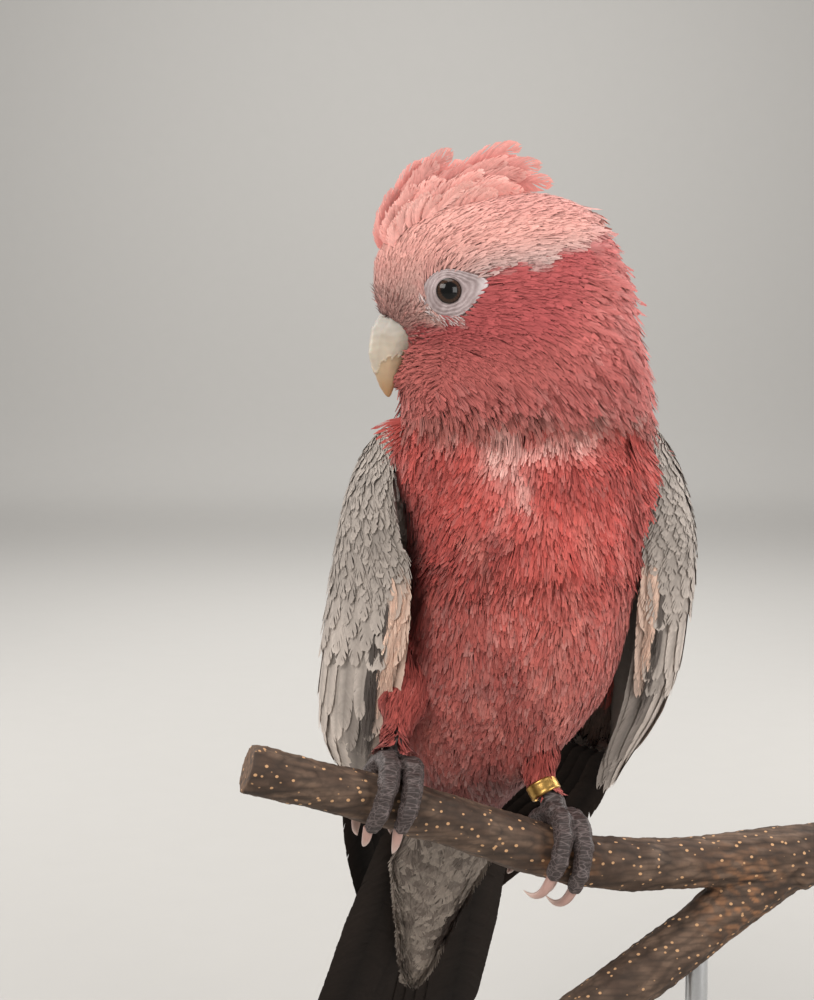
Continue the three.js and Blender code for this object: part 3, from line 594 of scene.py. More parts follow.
overWings = onlyMeasured(softened(("neck", "trunk", "wing_left", "wing_right"), "cloak", 0.5 * mm, 1.6 * mm, 8))
wingTrees = [onlyMeasured(copyOf((node,), "wingCopy"))["tree"] for node in ("wing_left", "wing_right")]


def underWing(points):  # 1 where a wing lies over the body
    outward = unit(fromAxis(points) * np.array([1, 1, 0]))
    return np.array([any(tree.ray_cast(Vector(place), Vector(way), 0.03)[0] for tree in wingTrees)
                     for place, way in zip(points, outward)], float)


bareRing = {"radius": 7.9, "corner": 0.62, "cornerTurn": math.radians(16), "drop": 0.9}


def eyeOffset(points):  # how far a place is from the nearer eye, seen along the head's width
    forward, across, height = headPlace(points)
    return forward - head["eye"][0], height - head["eye"][2]


def cornerStretch(ahead, above):  # the bare ring is drawn out to a point behind the eye
    angle = np.arctan2(above, -ahead) - bareRing["cornerTurn"]
    angle = (angle + math.pi) % (2 * math.pi) - math.pi
    return 1 + bareRing["corner"] * np.exp(-(np.abs(angle) / 0.42) ** 1.5)


def ringPlace(points):  # 1 at the edge of the bare ring, less inside
    ahead, above = eyeOffset(points)
    return np.hypot(ahead, above + bareRing["drop"]) / (bareRing["radius"] * cornerStretch(ahead, above))


def bareShare(points):
    beside = np.abs(headPlace(points)[1]) > 9
    return ((ringPlace(points) + 0.05 * mottle(points, 1.5 * mm, 9) < 0.86) & beside).astype(float)


def headFlow(points):
    out = unit(points - inHead(*head["billRoot"]))
    forward, across, height = headPlace(points)
    far = toBillRoot(points)
    fall = fade(14, 60, far) * (0.35 + 1.1 * fade(12, -30, height)) * fade(30, 14, height)
    way = out - upward * fall[:, None] - headForward * (0.5 * fade(20, 50, far))[:, None]
    ahead, above = eyeOffset(points)
    reach = np.hypot(ahead, above)
    push = (fade(15, 7, reach) * 0.9)[:, None]
    return way + push * (headForward * ahead[:, None] + upward * above[:, None]) / np.maximum(reach, 1)[:, None]


def bodyFlow(points):
    away = fromAxis(points)
    aside, height = away @ bodyAcross, points[:, 2] / mm
    parting = np.tanh((aside - 5) / 14) * 0.42 * fade(232, 262, height) * fade(-4, 8, away @ chestForward)
    sway = mottle(points, 22 * mm, 21) * 0.3
    return (-upward + np.array([0, 0.3, 0]) + bodyAcross * (0.004 * aside + sway + parting)[:, None]
            - chestForward * 0.35 * fade(190, 150, height)[:, None])


def coatFlow(points, facing):
    share = fade(276, 296, points[:, 2] / mm)[:, None]
    wander = unit(dice.normal(size=points.shape)) * 0.12
    return unit(bodyFlow(points)) * (1 - share) + unit(headFlow(points)) * share + wander


def skinDepth(points):
    neck, face = fade(*coat["neck"], points[:, 2] / mm), fade(*coat["face"], toBillRoot(points))
    depth = coat["depthBody"] + (coat["depthHead"] - coat["depthBody"]) * neck
    depth = depth + (coat["depthFace"] - depth) * face
    depth = coat["depthKnee"] + (depth - coat["depthKnee"]) * kneeShare(points)
    return depth + coat["depthEye"] * fade(1.02, 0.85, ringPlace(points)) * (np.abs(headPlace(points)[1]) > 8)


# strands to a side, their reach and fray, how far the tip lifts and the root sinks, and so on
faceLook = {"strands": 5, "reach": 0.75, "outline": "pointed", "fray": 0.2, "cover": 0.6, "lift": 0.25,
            "sink": 0.35, "blunt": 0.25, "droop": 0.12, "loose": 0.14, "ruffle": 0.11, "streak": 0.06,
            "vary": 0.04}
napeLook = {"strands": 9, "reach": 0.4, "outline": "pointed", "fray": 0.08, "lift": 2.0, "sink": 1.2,
            "blunt": 0.4, "droop": 0.2, "loose": 0.5, "ruffle": 0.12, "streak": 0.06, "vary": 0.06, "curl": 2}
breastLook = {"strands": 7, "reach": 0.78, "outline": "pointed", "fray": 0.2, "cover": 0.75, "lift": 0.3,
              "sink": 1.0, "blunt": 0.18, "droop": 0.1, "loose": 0.45, "ruffle": 0.1, "streak": 0.08,
              "vary": 0.06}
paleTip = np.array([0.33, 0.27, 0.25])


def sizeAt(value, points):  # one size, a size by place, or near, far, small and large from the bill out
    if isinstance(value, tuple):
        near, far, small, large = value
        return small + (large - small) * fade(near, far, toBillRoot(points))
    return value(points) if callable(value) else np.full(len(points), float(value))


def plant(name, surface, zone, kind, colourAt=bodyColour):
    roots = scatter(surface, lambda points: sizeAt(kind["gap"], points), zone)
    lengths = sizeAt(kind["length"], roots) * dice.uniform(0.82, 1.15, len(roots))
    path, normals = trace(surface, roots, coatFlow, lengths, 4)
    colour = colourAt(path[:, -1])
    tips = mixed(colour, colour * 0.5 + paleTip, dice.random(len(roots)) ** 3 * kind.get("pale", 0))
    lift = sizeAt(kind["look"]["lift"], roots) * dice.uniform(0.5, 1.4, len(roots))
    widths = sizeAt(kind["width"], roots) * dice.uniform(0.85, 1.15, len(roots))
    piece = plumes(name, path, normals, widths, {**kind["look"], "lift": lift}, colour * kind.get("shade", 0.8),
                   tips, bodyPatch(roots))
    return placed(piece, kind["slot"], downMaterial)


def collarEdge(points):  # where the head's feathers begin, higher in front than behind
    return coat["neckline"] + coat["necklineRise"] * fade(-12, 6, fromAxis(points) @ chestForward)


def headZone(points):
    return fade(-1.5, 1.5, points[:, 2] / mm - collarEdge(points)) * (1 - bareShare(points))


def nearSide(points):
    return headPlace(points)[1] < 0


def napeShare(points):
    forward, across, height = headPlace(points)
    return fade(-14, -20, forward + 0.15 * height - 0.004 * height ** 2)


capCoat = {"slot": "face_plumage", "gap": (10, 45, 0.62, 1.15), "length": (8, 50, 2.8, 9.5),
           "width": (10, 45, 0.6, 1.4), "shade": 0.88, "look": faceLook}
cheekCoat = {"slot": "face_plumage", "gap": (10, 60, 0.66, 1.3), "length": (8, 50, 3, 9.5),
             "width": (10, 50, 0.65, 1.5), "shade": 0.85, "look": faceLook}
farCheekCoat = {**cheekCoat, "gap": (10, 60, 0.891, 1.755), "width": (10, 50, 0.8775, 2.025)}
napeCoat = {"slot": "face_plumage", "gap": 2.0, "length": lambda p: 12 + 4 * fade(320, 290, p[:, 2] / mm),
            "width": 2.6, "shade": 0.75, "pale": 0.3,
            "look": {**napeLook, "lift": lambda p: 0.6 + 3.2 * dice.random(len(p)) ** 2}}
fluffCoat = {"slot": "face_plumage", "gap": 0.8, "length": 2.6, "width": 0.3, "shade": 1.0,
             "tone": (0.72, 0.6, 0.58), "look": {**faceLook, "strands": 3, "lift": 0.9}}
ruffCoat = {"slot": "face_plumage", "gap": 1.3, "length": lambda p: 11.5 + 2.5 * mottle(p, 7 * mm, 72),
            "width": 1.9, "shade": 0.95, "pale": 0.3,
            "look": {**breastLook, "strands": 8, "lift": 2.2, "curl": 1.6, "fray": 0.16}}
loreCoat = {"slot": "face_plumage", "gap": 1.25, "length": 3.0, "width": 0.42, "shade": 0.5,
            "tone": (0.62, 0.3, 0.26), "look": {**faceLook, "lift": 1.0, "strands": 3, "vary": 0.22}}


def capZone(points):
    return headZone(points) * (capShare(points) > 0.5) * (napeShare(points) < 0.5)


def cheekZone(points):
    return headZone(points) * (capShare(points) <= 0.5) * (napeShare(points) < 0.5)


def fluffZone(points):  # white down under the bare ring
    ahead, above = eyeOffset(points)
    beside = np.abs(headPlace(points)[1]) > 8
    return 1.0 * (np.abs(ringPlace(points) - 1.02) < 0.14) * (above < -3) * (ahead > -3) * beside


def ruffZone(points):
    height = points[:, 2] / mm
    gaps = fade(-0.9, -0.5, mottle(points, 6 * mm, 71))
    return fade(292, 294, height) * fade(305, 302, height) * (fromAxis(points) @ chestForward > -8) * gaps


def ruffColour(points):
    return mixed(headColour(points), plumage["ruff"], 0.6 * fade(292, 282, points[:, 2] / mm))


def loreZone(points):
    return headZone(points) * (toBillRoot(points) < 15) * (headPlace(points)[2] > -13)


def loreColour(points):
    return mixed(plumage["lores"], loreCoat["tone"], fade(-0.6, 0.9, mottle(points, 1.6 * mm, 91)))


def evenly(tone):
    return lambda points: np.tile(tone, (len(points), 1))


plant("capFeathers", form, capZone, capCoat, headColour)
plant("nearCheekFeathers", form, lambda p: cheekZone(p) * nearSide(p), cheekCoat, headColour)
plant("farCheekFeathers", form, lambda p: cheekZone(p) * ~nearSide(p), farCheekCoat, headColour)
plant("napeFeathers", form, lambda p: headZone(p) * (napeShare(p) >= 0.5), napeCoat, headColour)
plant("fluffFeathers", form, fluffZone, fluffCoat, evenly(fluffCoat["tone"]))
plant("ruffFeathers", outer, ruffZone, ruffCoat, ruffColour)
plant("frontLoreFeathers", form, loreZone, loreCoat, loreColour)

puffs = {"gap": 0.85, "length": 5.4, "width": 0.95, "shade": 0.75,
         "look": {**faceLook, "lift": 0.9, "curl": 1.5}}
puffForm = onlyMeasured(softened(("head", "neck", "bill_lower"), "puffForm", 0.9 * mm, 1.0 * mm, 8))


def puffZone(points):  # the cheek's feathers that stand forward over the lower bill
    forward, across, height = headPlace(points)
    return 1.0 * ((forward > 24) & (forward < 34.5) & (height > -33) & (height < -14.5 - 1.05 * (forward - 31)))


def puffFlow(points, facing):
    height = headPlace(points)[2]
    down = 0.25 + 0.9 * fade(-20, -32, height)
    return headForward - upward * down[:, None] + unit(dice.normal(size=points.shape)) * 0.2


puffRoots = scatter(puffForm, lambda p: sizeAt(puffs["gap"], p), puffZone)
puffLines = trace(puffForm, puffRoots, puffFlow, puffs["length"] * dice.uniform(0.75, 1.2, len(puffRoots)), 4)
puffTone = headColour(puffLines[0][:, 0]) * (1 + 0.12 * mottle(puffRoots, 3 * mm, 92))[:, None]
puffPiece = plumes("cheekPuffFeathers", *puffLines, sizeAt(puffs["width"], puffRoots), puffs["look"],
                   puffTone * puffs["shade"], puffTone, bodyPatch(puffRoots))
placed(puffPiece, "face_plumage", downMaterial)

breastCoat = {"slot": "breast_plumage", "gap": 1.2, "length": lambda p: 11 + 3 * mottle(p, 9 * mm, 74),
              "width": 1.7, "shade": 0.95, "pale": 0.3,
              "look": {**breastLook, "lift": lambda p: 0.4 + 1.5 * np.exp(-((p[:, 2] / mm - 245) / 6) ** 2)}}
bellyCoat = {**breastCoat, "gap": 1.3, "width": 1.8, "pale": 0.45, "look": breastLook}
lobeCoat = {"slot": "breast_plumage", "gap": 1.5, "length": 12, "width": 2.1, "shade": 0.85, "pale": 0.4,
            "look": {**breastLook, "sink": 0.2, "loose": 0.8, "vary": 0.08,
                     "lift": lambda p: 0.5 + 1.6 * fade(32, 43, np.abs(p[:, 0]) / mm)}}
mantleCoat = {"slot": "breast_plumage", "gap": 3.0, "length": 17, "width": 5.2, "pale": 0.5,
              "look": {**breastLook, "strands": 14, "lift": 0.5, "blunt": 0.6, "reach": 0.4, "outline": "round",
                       "fray": 0.06}}
thighCoat = {"slot": "breast_plumage", "gap": 0.95, "length": 8.5, "width": 1.2, "pale": 0.2,
             "tone": (0.42, 0.08, 0.066),
             "look": {**breastLook, "lift": -0.3, "sink": 0.2, "curl": 1.5, "loose": 0.7}}
chestTop = 236  # where the breast's feathers end and the belly's begin, in millimetres


def chestZone(points):  # the front of the trunk, clear of the folded wings
    thighs = points[:, 2] < 176 * mm
    below = points[:, 2] / mm < collarEdge(points) + 1
    return below * np.where(thighs, 1, 1 - 0.93 * underWing(points)) * (fromAxis(points) @ chestForward > -6)


def lobes(points):  # breast feathers that spill over the wings' shoulders
    x, height = points[:, 0] / mm, points[:, 2] / mm
    left = (x > 36) & (x < np.interp(height, (254, 256, 268, 280, 287, 289), (0, 41, 44.5, 45.5, 42.5, 0)))
    right = (x < -33) & (x > np.interp(height, (266, 268, 276, 284, 290, 292), (0, -34, -37, -39, -42, 0)))
    return 1.0 * (left | right) * (points[:, 1] < 20 * mm)


def lobeColour(points):
    return trunkColour(points - np.array([0, 30, 0]) * mm * (points[:, 1:2] > 0))


def backZone(points):
    away = fromAxis(points)
    wide = np.interp(points[:, 2] / mm, (160, 200, 240, 286), (14, 20, 27, 40))
    return ((away @ chestForward < -4) & (np.abs(away @ bodyAcross) < wide) & (points[:, 2] < 290 * mm)) * 1.0


def thighZone(points):
    lowest = np.where(points[:, 0] < 0, 181, 163.5)
    return 1.0 * (points[:, 2] > lowest * mm) * (points[:, 2] < 206 * mm)


def bellyZone(points):
    return chestZone(points) * (points[:, 2] <= chestTop * mm)


plant("breastFeathers", form, lambda p: chestZone(p) * (p[:, 2] > chestTop * mm), breastCoat, trunkColour)
plant("bellyLeftFeathers", form, lambda p: bellyZone(p) * (p[:, 0] > 0), bellyCoat)
plant("bellyRightFeathers", form, lambda p: bellyZone(p) * (p[:, 0] <= 0), bellyCoat)
plant("lobeFeathers", overWings, lobes, lobeCoat, lobeColour)
plant("mantleFeathers", overWings, backZone, mantleCoat)
legForm = softened(("thigh_right", "foot_right", "thigh_left", "foot_left"), "legForm", 2.0 * mm, 1.1 * mm, 4)
plant("thighFeathers", onlyMeasured(legForm), thighZone, thighCoat, evenly(thighCoat["tone"]))

spikes = {  # ragged feathers that stand out over the right shoulder, the first and the step to the next
    "root": (-35.5, -28.5, 290), "rootStep": (0, 0, -1), "tip": (-48.5, -21.5, 285.5),
    "tipStep": (0.9, 0, -1.7), "bow": (0, -2.2, 2.4), "facing": (-0.35, -0.8, 0.5), "width": 1.7,
    "look": {**napeLook, "lift": 0.6},
    "rootTone": (0.4, 0.06, 0.05), "tipTone": (0.5, 0.1, 0.085)}
order = np.arange(7)[:, None, None]
along = np.linspace(0, 1, 6)[None, :, None]
spikeRoots = np.array(spikes["root"]) + order * np.array(spikes["rootStep"])
spikeTips = np.array(spikes["tip"]) + order * np.array(spikes["tipStep"])
spikePath = (spikeRoots * (1 - along) + spikeTips * along + np.array(spikes["bow"]) * along * (1 - along)) * mm
spikeFacing = np.broadcast_to(unit(np.array(spikes["facing"])), spikePath.shape)
rootTone, tipTone = (evenly(spikes[part])(order) for part in ("rootTone", "tipTone"))
spikePiece = plumes("shoulderFeathers", spikePath, spikeFacing, np.full(7, spikes["width"]), spikes["look"],
                    rootTone, tipTone, bodyPatch(spikePath[:, 0]))
placed(spikePiece, "breast_plumage", downMaterial)

skinPoints = form["points"] - vertexNormals(body) * (skinDepth(form["points"]) * mm)[:, None]
paint(body, bodyColour(form["points"]) * 0.85)
movePoints(body, skinPoints)
placed(body, "breast_plumage", downMaterial, fleshNodes)
print("skin and body coat done")


wingRails = {
    "right": (((-39, -7, 284), (-41, -20, 262), (-36, -21, 235), (-41, -12, 200), (-46, 8, 170), (-51, 26, 158)),
              ((-44, 5, 286), (-52, 4, 262), (-58.5, 11, 230), (-64, 18, 198), (-66, 29, 172), (-62, 41, 158)),
              ((-41, 20, 285), (-48, 32, 262), (-50, 44, 230), (-52, 52, 198), (-53, 58, 172), (-50, 60, 158)),
              ((-35, 28, 283), (-32, 42, 262), (-28, 56, 230), (-26, 63, 198), (-27, 68, 172), (-34, 70, 158))),
    "left": (((44, 2, 284), (46, -5, 262), (45, -4, 240), (46, 5, 212), (44, 18, 184), (38, 36, 158)),
             ((50, 13, 286), (57, 10, 262), (61, 14, 240), (60.5, 22, 212), (57, 33, 184), (46, 46, 158)),
             ((43, 28, 285), (47, 38, 262), (44, 48, 240), (41, 58, 212), (37, 64, 184), (33, 65, 158)),
             ((35, 36, 283), (25, 48, 262), (13, 58, 240), (5, 66, 212), (2, 72, 184), (10, 75, 158))),
}
wingThickness = np.array((9, 13, 13, 11, 7, 3))


def spline(values, share):  # a smooth reading of evenly spaced values, run on straight past the end
    values = np.asarray(values, float)
    last = len(values) - 1
    place = np.asarray(share) * last
    first = np.clip(np.floor(place).astype(int), 0, last - 1)
    rest = (place - first)
    if values.ndim > 1:
        rest = rest[..., None]
    a, b = values[np.maximum(first - 1, 0)], values[first]
    c, d = values[first + 1], values[np.minimum(first + 2, last)]
    over = np.maximum(rest - 1, 0)
    rest = np.minimum(rest, 1)
    inside = b + 0.5 * rest * (c - a + rest * (2 * a - 5 * b + 4 * c - d + rest * (3 * (b - c) + d - a)))
    return inside + over * (c - b)


def wingPoint(side, across, down):  # across from the leading edge to the back, down from the shoulder
    rails = np.stack([spline(rail, down) for rail in wingRails[side]], axis=0)
    fullness = np.sqrt(1 - (1 - np.clip(down / 0.16, 0.04, 1)) ** 2)
    across = 0.5 + (across - 0.5) * fullness
    place = np.clip(across, 0, 1) * 3
    first = np.clip(np.floor(place).astype(int), 0, 2)
    rest = (place - first)[..., None]
    picked = np.arange(len(down))
    a, b = rails[np.maximum(first - 1, 0), picked], rails[first, picked]
    c, d = rails[first + 1, picked], rails[np.minimum(first + 2, 3), picked]
    return (b + 0.5 * rest * (c - a + rest * (2 * a - 5 * b + 4 * c - d + rest * (3 * (b - c) + d - a)))) * mm


def wingPath(side, across, down, sideways, run):
    hand = 1 if side == "right" else -1
    path, normals = [], []
    for share in np.linspace(0, 1, 7):
        s, t = across + sideways * share, down + run * share
        here = wingPoint(side, s, t)
        ahead, beside = wingPoint(side, s, t + 0.02), wingPoint(side, s + 0.04, t)
        facing = unit(np.cross(beside - here, ahead - here)) * hand
        full = np.sqrt(1 - (1 - np.clip(t / 0.16, 0.04, 1)) ** 2)
        thick = spline(wingThickness, t.clip(0, 1)) / 2 * full * (2 * np.sqrt((s * (1 - s)).clip(0.01))) ** 0.6
        path.append(here + facing * (thick * mm)[:, None])
        normals.append(facing)
    return np.stack(path, axis=1), np.stack(normals, axis=1)


wingRows = (  # rows of coverts and flight feathers, from the shoulder down
    {"from": 0.0, "to": 0.34, "rows": 14, "length": 0.1, "width": 3.1, "count": 22, "strands": 13,
     "outline": "round", "blunt": 0.35, "fray": 0.1, "reach": 0.42},
    {"from": 0.35, "to": 0.43, "rows": 3, "length": 0.14, "width": 3.8, "count": 18, "strands": 18,
     "outline": "covert", "blunt": 0.6, "fray": 0.05, "reach": 0.28},
    {"from": 0.46, "to": 0.52, "rows": 2, "length": 0.25, "width": 4.1, "count": 17, "strands": 34,
     "outline": "slim", "blunt": 0.9, "fray": 0.02, "reach": 0.14},
    {"from": 0.55, "to": 0.63, "rows": 2, "length": 0.44, "width": 4.3, "count": 16, "strands": 56,
     "outline": "slim", "blunt": 1.0, "fray": 0.012, "reach": 0.09},
)
wingStrips = (  # narrow feathers by the leading edge: how far across, and what they are
    # the dark strip: darker inner vanes with painted shade on them
    {"tone": "dark", "across": (0.082, 0.102), "down": (0.44, 0.5, 0.56, 0.62), "length": 0.22,
     "width": 1.7, "edge": 1.8},
    {"tone": "peach", "across": (0.005, 0.024, 0.043, 0.062), "down": (0.4, 0.44, 0.48, 0.52, 0.56, 0.6),
     "length": 0.1, "width": 1.7, "edge": 1.1},
)
wingColours = {"vane": (0.42, 0.365, 0.325), "peach": (0.85, 0.58, 0.45), "dark": (0.07, 0.055, 0.048)}
wingLook = {"lift": 0.25, "loose": 0.25, "ruffle": 0.05, "streak": 0.025, "vary": 0.05, "cover": 0.66}
stripLook = {**wingRows[2], "lift": 0.5, "sink": 0.1, "droop": 0.1, "loose": 0.4, "ruffle": 0.08,
             "streak": 0.06, "vary": 0.08, "fray": 0.09, "reach": 0.34, "outline": "pointed", "blunt": 0.4}


def wingTone(across, down, points):
    tone = mixed(wingColours["vane"], np.array(wingColours["vane"]) * 1.5, fade(0.35, 0.75, down))
    inner = fade(0.1, 0.04, across) * fade(0.38, 0.45, down) * fade(0.85, 0.7, down)
    tone = mixed(tone, wingColours["peach"], inner * 0.7)
    tone = mixed(tone, tone * 0.75, fade(0.2, 1.1, mottle(points, 8 * mm, 4)) * fade(0.6, 0.3, down))
    # darker by the leading edge low down: darker vanes with painted shade
    return mixed(tone, wingColours["dark"], fade(0.22, 0.16, across) * fade(0.6, 0.75, down) * 0.6)


def wingCoat(side):
    tilt = 0.05 if side == "right" else -0.05
    for layer, row in enumerate(wingRows):
        downs = np.linspace(row["from"], row["to"], row["rows"])
        spots = [(across + (0.5 * (k % 2) / row["count"]), down)
                 for k, down in enumerate(downs) for across in np.linspace(0.02, 0.97, row["count"])]
        across, down = np.array(spots).T
        across = across + dice.normal(0, 0.008, len(across))
        down = down + dice.normal(0, 0.006 if layer < 2 else 0.012, len(down))
        run = row["length"] * dice.uniform(0.92, 1.08, len(down))
        path, normals = wingPath(side, across.clip(0, 1), down.clip(0.005), -0.03 if layer < 2 else -0.015, run)
        tone = wingTone(across, down + run * 0.7, path[:, -1])
        wrap = (0.07 + 0.09 * np.exp(-((across - 0.36) / 0.13) ** 2))[:, None]
        shaft = 0.3 if layer > 1 else 0.1
        look = {**row, **wingLook, "sink": 1.0 + 0.5 * layer, "droop": wrap, "tilt": tilt, "shaft": shaft}
        patch = np.column_stack([0.05 + 0.9 * across.clip(0, 1), 0.95 - 0.8 * down.clip(0, 1)])
        # each feather's root is painted 15% darker as painted shade under the row above; its edge is paler
        yield plumes(f"{side}WingCoat{layer}", path, normals, np.full(len(run), row["width"]), look,
                     tone * 0.85, tone, patch, tone * 1.15)
    for band in wingStrips:
        across, down = np.array([(a, d) for d in band["down"] for a in band["across"]]).T
        across = (across + dice.normal(0, 0.005, len(across))).clip(0)
        down = down + dice.normal(0, 0.012, len(down))
        run = band["length"] * dice.uniform(0.75, 1.25, len(down))
        path, normals = wingPath(side, across, down, -0.01, run)
        tone = mixed(wingColours[band["tone"]], wingColours["vane"], dice.random(len(down)) ** 2 * 0.3)
        patch = np.column_stack([0.05 + 0.9 * across, 0.95 - 0.8 * down])
        # roots painted 10% darker, as painted shade
        yield plumes(f"{side}{band['tone'].title()}Strip", path, normals, np.full(len(run), band["width"]),
                     stripLook, tone * 0.9, tone, patch, tone * band["edge"])


def facingWay(surface, way, least):  # only the part of a surface that faces one way
    kept = surface["normals"] @ way > least
    faces = surface["faces"][kept]
    tree = BVHTree.FromPolygons(surface["points"].tolist(), faces.tolist())
    return {"points": surface["points"], "faces": faces, "normals": surface["normals"][kept], "tree": tree}


liningCoat = {"slot": "wing_plumage", "gap": 1.3, "length": 11, "width": 2.0,
              "look": {**breastLook, "lift": 1.0, "sink": -1.0},
              "red": (0.5, 0.085, 0.07), "brown": (0.1, 0.065, 0.05)}


def liningZone(points):
    return 1.0 * (points[:, 2] > 168 * mm) * (points[:, 2] < 238 * mm) * (np.abs(points[:, 0]) < 43 * mm)


def liningColour(points):
    return mixed(liningCoat["red"], liningCoat["brown"], fade(182, 172, points[:, 2] / mm))


for side, inward in (("right", bodyAcross), ("left", -bodyAcross)):
    for piece in wingCoat(side):
        placed(piece, "wing_plumage", vaneMaterial)
    skin = softened((f"wing_{side}",), f"{side}WingSkin", -0.9 * mm, 0.9 * mm, 4)
    lining = facingWay(measured(skin), inward, 0.3)
    plant(f"{side}LiningFeathers", lining, liningZone, liningCoat, liningColour)
    paint(skin, np.tile(np.array(wingColours["vane"]) * 0.6, (len(skin.data.vertices), 1)))
    placed(skin, "wing_plumage", vaneMaterial, (f"wing_{side}",))
print("wings done")


def strip(points, steps):  # a smooth line through a few points, in metres
    shares = np.linspace(0, 1, steps + 1)
    return spline(np.asarray(points, float) * mm, shares)


primaryRuns = {
    "right": {"outer": ((-56.5, 48, 162), (-57.5, 63, 132), (-53, 87, 95), (-43, 109, 60)),
              "inner": ((-40, 66, 162), (-40, 75, 146), (-38, 86, 122), (-34, 99, 97)),
              "side": (0.75, 0.6, 0.1)},
    "left": {"outer": ((41, 50, 162), (31, 64, 134), (5, 90, 104), (-20, 115, 74)),
             "inner": ((22, 70, 162), (13, 81, 146), (0, 95, 124), (-13, 108, 104)),
             "side": (0.75, -0.3, -0.5)},
}
darkTone = np.array((0.016, 0.0105, 0.008))
bladeLook = {"strands": 80, "reach": 0.075, "outline": "blade", "fray": 0.012, "lift": 0, "sink": 0,
             "droop": 0.06, "loose": 0.1, "ruffle": 0.04, "streak": 0.05, "vary": 0.06, "cover": 0.9,
             "blunt": 1.0, "shaft": 0.4}


def blades(name, lines, sides, widths, look, root, tip, patch, edge, outward=(0, -1, 0)):
    path = np.stack(lines)
    onward = np.gradient(path, axis=1)
    facing = unit(np.cross(np.broadcast_to(np.array(sides)[:, None], path.shape), onward))
    outward = np.broadcast_to(np.asarray(outward, float), (len(path), 3))[:, None]
    facing = facing * np.where((facing * outward).sum(axis=2, keepdims=True) < 0, -1, 1)
    colours = [np.broadcast_to(tone, (len(path), 3)) for tone in (root, tip, edge)]
    return plumes(name, path, facing, np.array(widths), look, colours[0], colours[1], patch, colours[2])


primaries = {"number": 7, "width": 6.5}
for side, run in primaryRuns.items():
    lines = []
    shares = np.linspace(0, 1, primaries["number"])
    for share in shares:
        middle = np.array(run["outer"]) * (1 - share) + np.array(run["inner"]) * share
        middle[:, 1] += (share - 0.5) * 3
        lines.append(strip(middle, 12))
    patch = np.column_stack([0.1 + 0.8 * shares, np.full(len(lines), 0.5)])
    widths = [primaries["width"]] * len(lines)
    piece = blades(f"{side}Primaries", lines, [run["side"]] * len(lines), widths, bladeLook, darkTone,
                   darkTone * 1.3, patch, darkTone * 2.2)
    placed(piece, "flight_plumage", darkMaterial, (f"primaries_{side}",))

tail = {"root": (-20, 48, 143), "way": (-0.19, 0.45, -0.87), "feathers": 12, "length": 137, "width": 12.5,
        "spread": 15, "fan": -4.5, "step": 0.62,
        "look": {**bladeLook, "strands": 110, "reach": 0.11, "fray": 0.006}}
tailWay = unit(np.array(tail["way"]))
tailSide = unit(bodyAcross - tailWay * (bodyAcross @ tailWay))
tailBack = unit(np.cross(tailSide, tailWay))


def tailLines():
    lines = []
    for place in np.linspace(-1, 1, tail["feathers"]):
        turn = math.radians(tail["fan"] * place)
        way = tailWay * math.cos(turn) + np.cross(tailBack, tailWay) * math.sin(turn)
        order = abs(place) * (tail["feathers"] - 1) + math.copysign(0.5, place)
        root = np.array(tail["root"]) + tailSide * tail["spread"] * place - tailBack * tail["step"] * order
        length = tail["length"] - 7 * place ** 2
        bent = [root + way * length * share + tailBack * 3 * share ** 2 for share in (0, 0.25, 0.5, 0.75, 1)]
        lines.append(strip(bent, 16))
    return lines


tailRow = tailLines()
tailPatch = np.column_stack([np.linspace(0.1, 0.9, len(tailRow)), np.full(len(tailRow), 0.5)])
tailPiece = blades("tailFeathers", tailRow, [tailSide] * len(tailRow), [tail["width"]] * len(tailRow),
                   tail["look"], darkTone * 1.5, darkTone * 0.75, tailPatch, darkTone * 1.1)
placed(tailPiece, "flight_plumage", darkMaterial, ("tail",))

undertailForm = softened(("undertail_coverts",), "undertailSkin", 0.2 * mm, 0.9 * mm, 4)
under = measured(undertailForm)


def besideFinger(points):  # 1 to the left-hand side of the long narrow end of the coverts
    edge = np.interp(points[:, 2] / mm, (48, 86, 108, 125), (-27.5, -25, -8, 5))
    return fade(-1, 1.5, points[:, 0] / mm - edge)


coverts = {"gap": 2.4, "length": 15, "width": 4.2, "pale": (0.27, 0.225, 0.19), "mottled": (0.14, 0.11, 0.092),
           "look": {**breastLook, "sink": 0.9, "strands": 12, "outline": "round", "reach": 0.5, "fray": 0.05},
           "tipWidths": (5.2, 6.0, 5.2),
           "tipTones": ((0.2, 0.165, 0.14), (0.3, 0.25, 0.215), (0.32, 0.27, 0.235)),
           "tipLook": {**bladeLook, "strands": 40, "reach": 0.3, "outline": "round", "fray": 0.04, "blunt": 0.6,
                       "shaft": 0.1},
           "skin": (0.15, 0.125, 0.105)}
tailRoot = np.array(tail["root"]) * mm


def undertailPlant():
    front = lambda points: 1.0 * ((points - tailRoot) @ tailBack < -4 * mm)
    roots = scatter(under, lambda points: sizeAt(coverts["gap"], points), front)
    lengths = coverts["length"] * dice.uniform(0.85, 1.15, len(roots))
    path, normals = trace(under, roots, lambda p, facing: np.tile(tailWay, (len(p), 1)), lengths, 4)
    tone = mixed(coverts["pale"], coverts["mottled"], fade(-0.2, 0.8, mottle(path[:, -1], 6 * mm, 17)))
    tone = mixed(tone, darkTone * 2.5, besideFinger(path[:, -1]))
    away = roots - tailRoot
    patch = np.column_stack([0.5 + away @ tailSide * 18, 0.9 - 0.7 * (away @ tailWay) / 0.11]).clip(0.02, 0.98)
    widths = np.full(len(roots), coverts["width"])
    # roots painted 15% darker, as painted shade
    return plumes("undertailFeathers", path, normals, widths, coverts["look"], tone * 0.85, tone, patch)


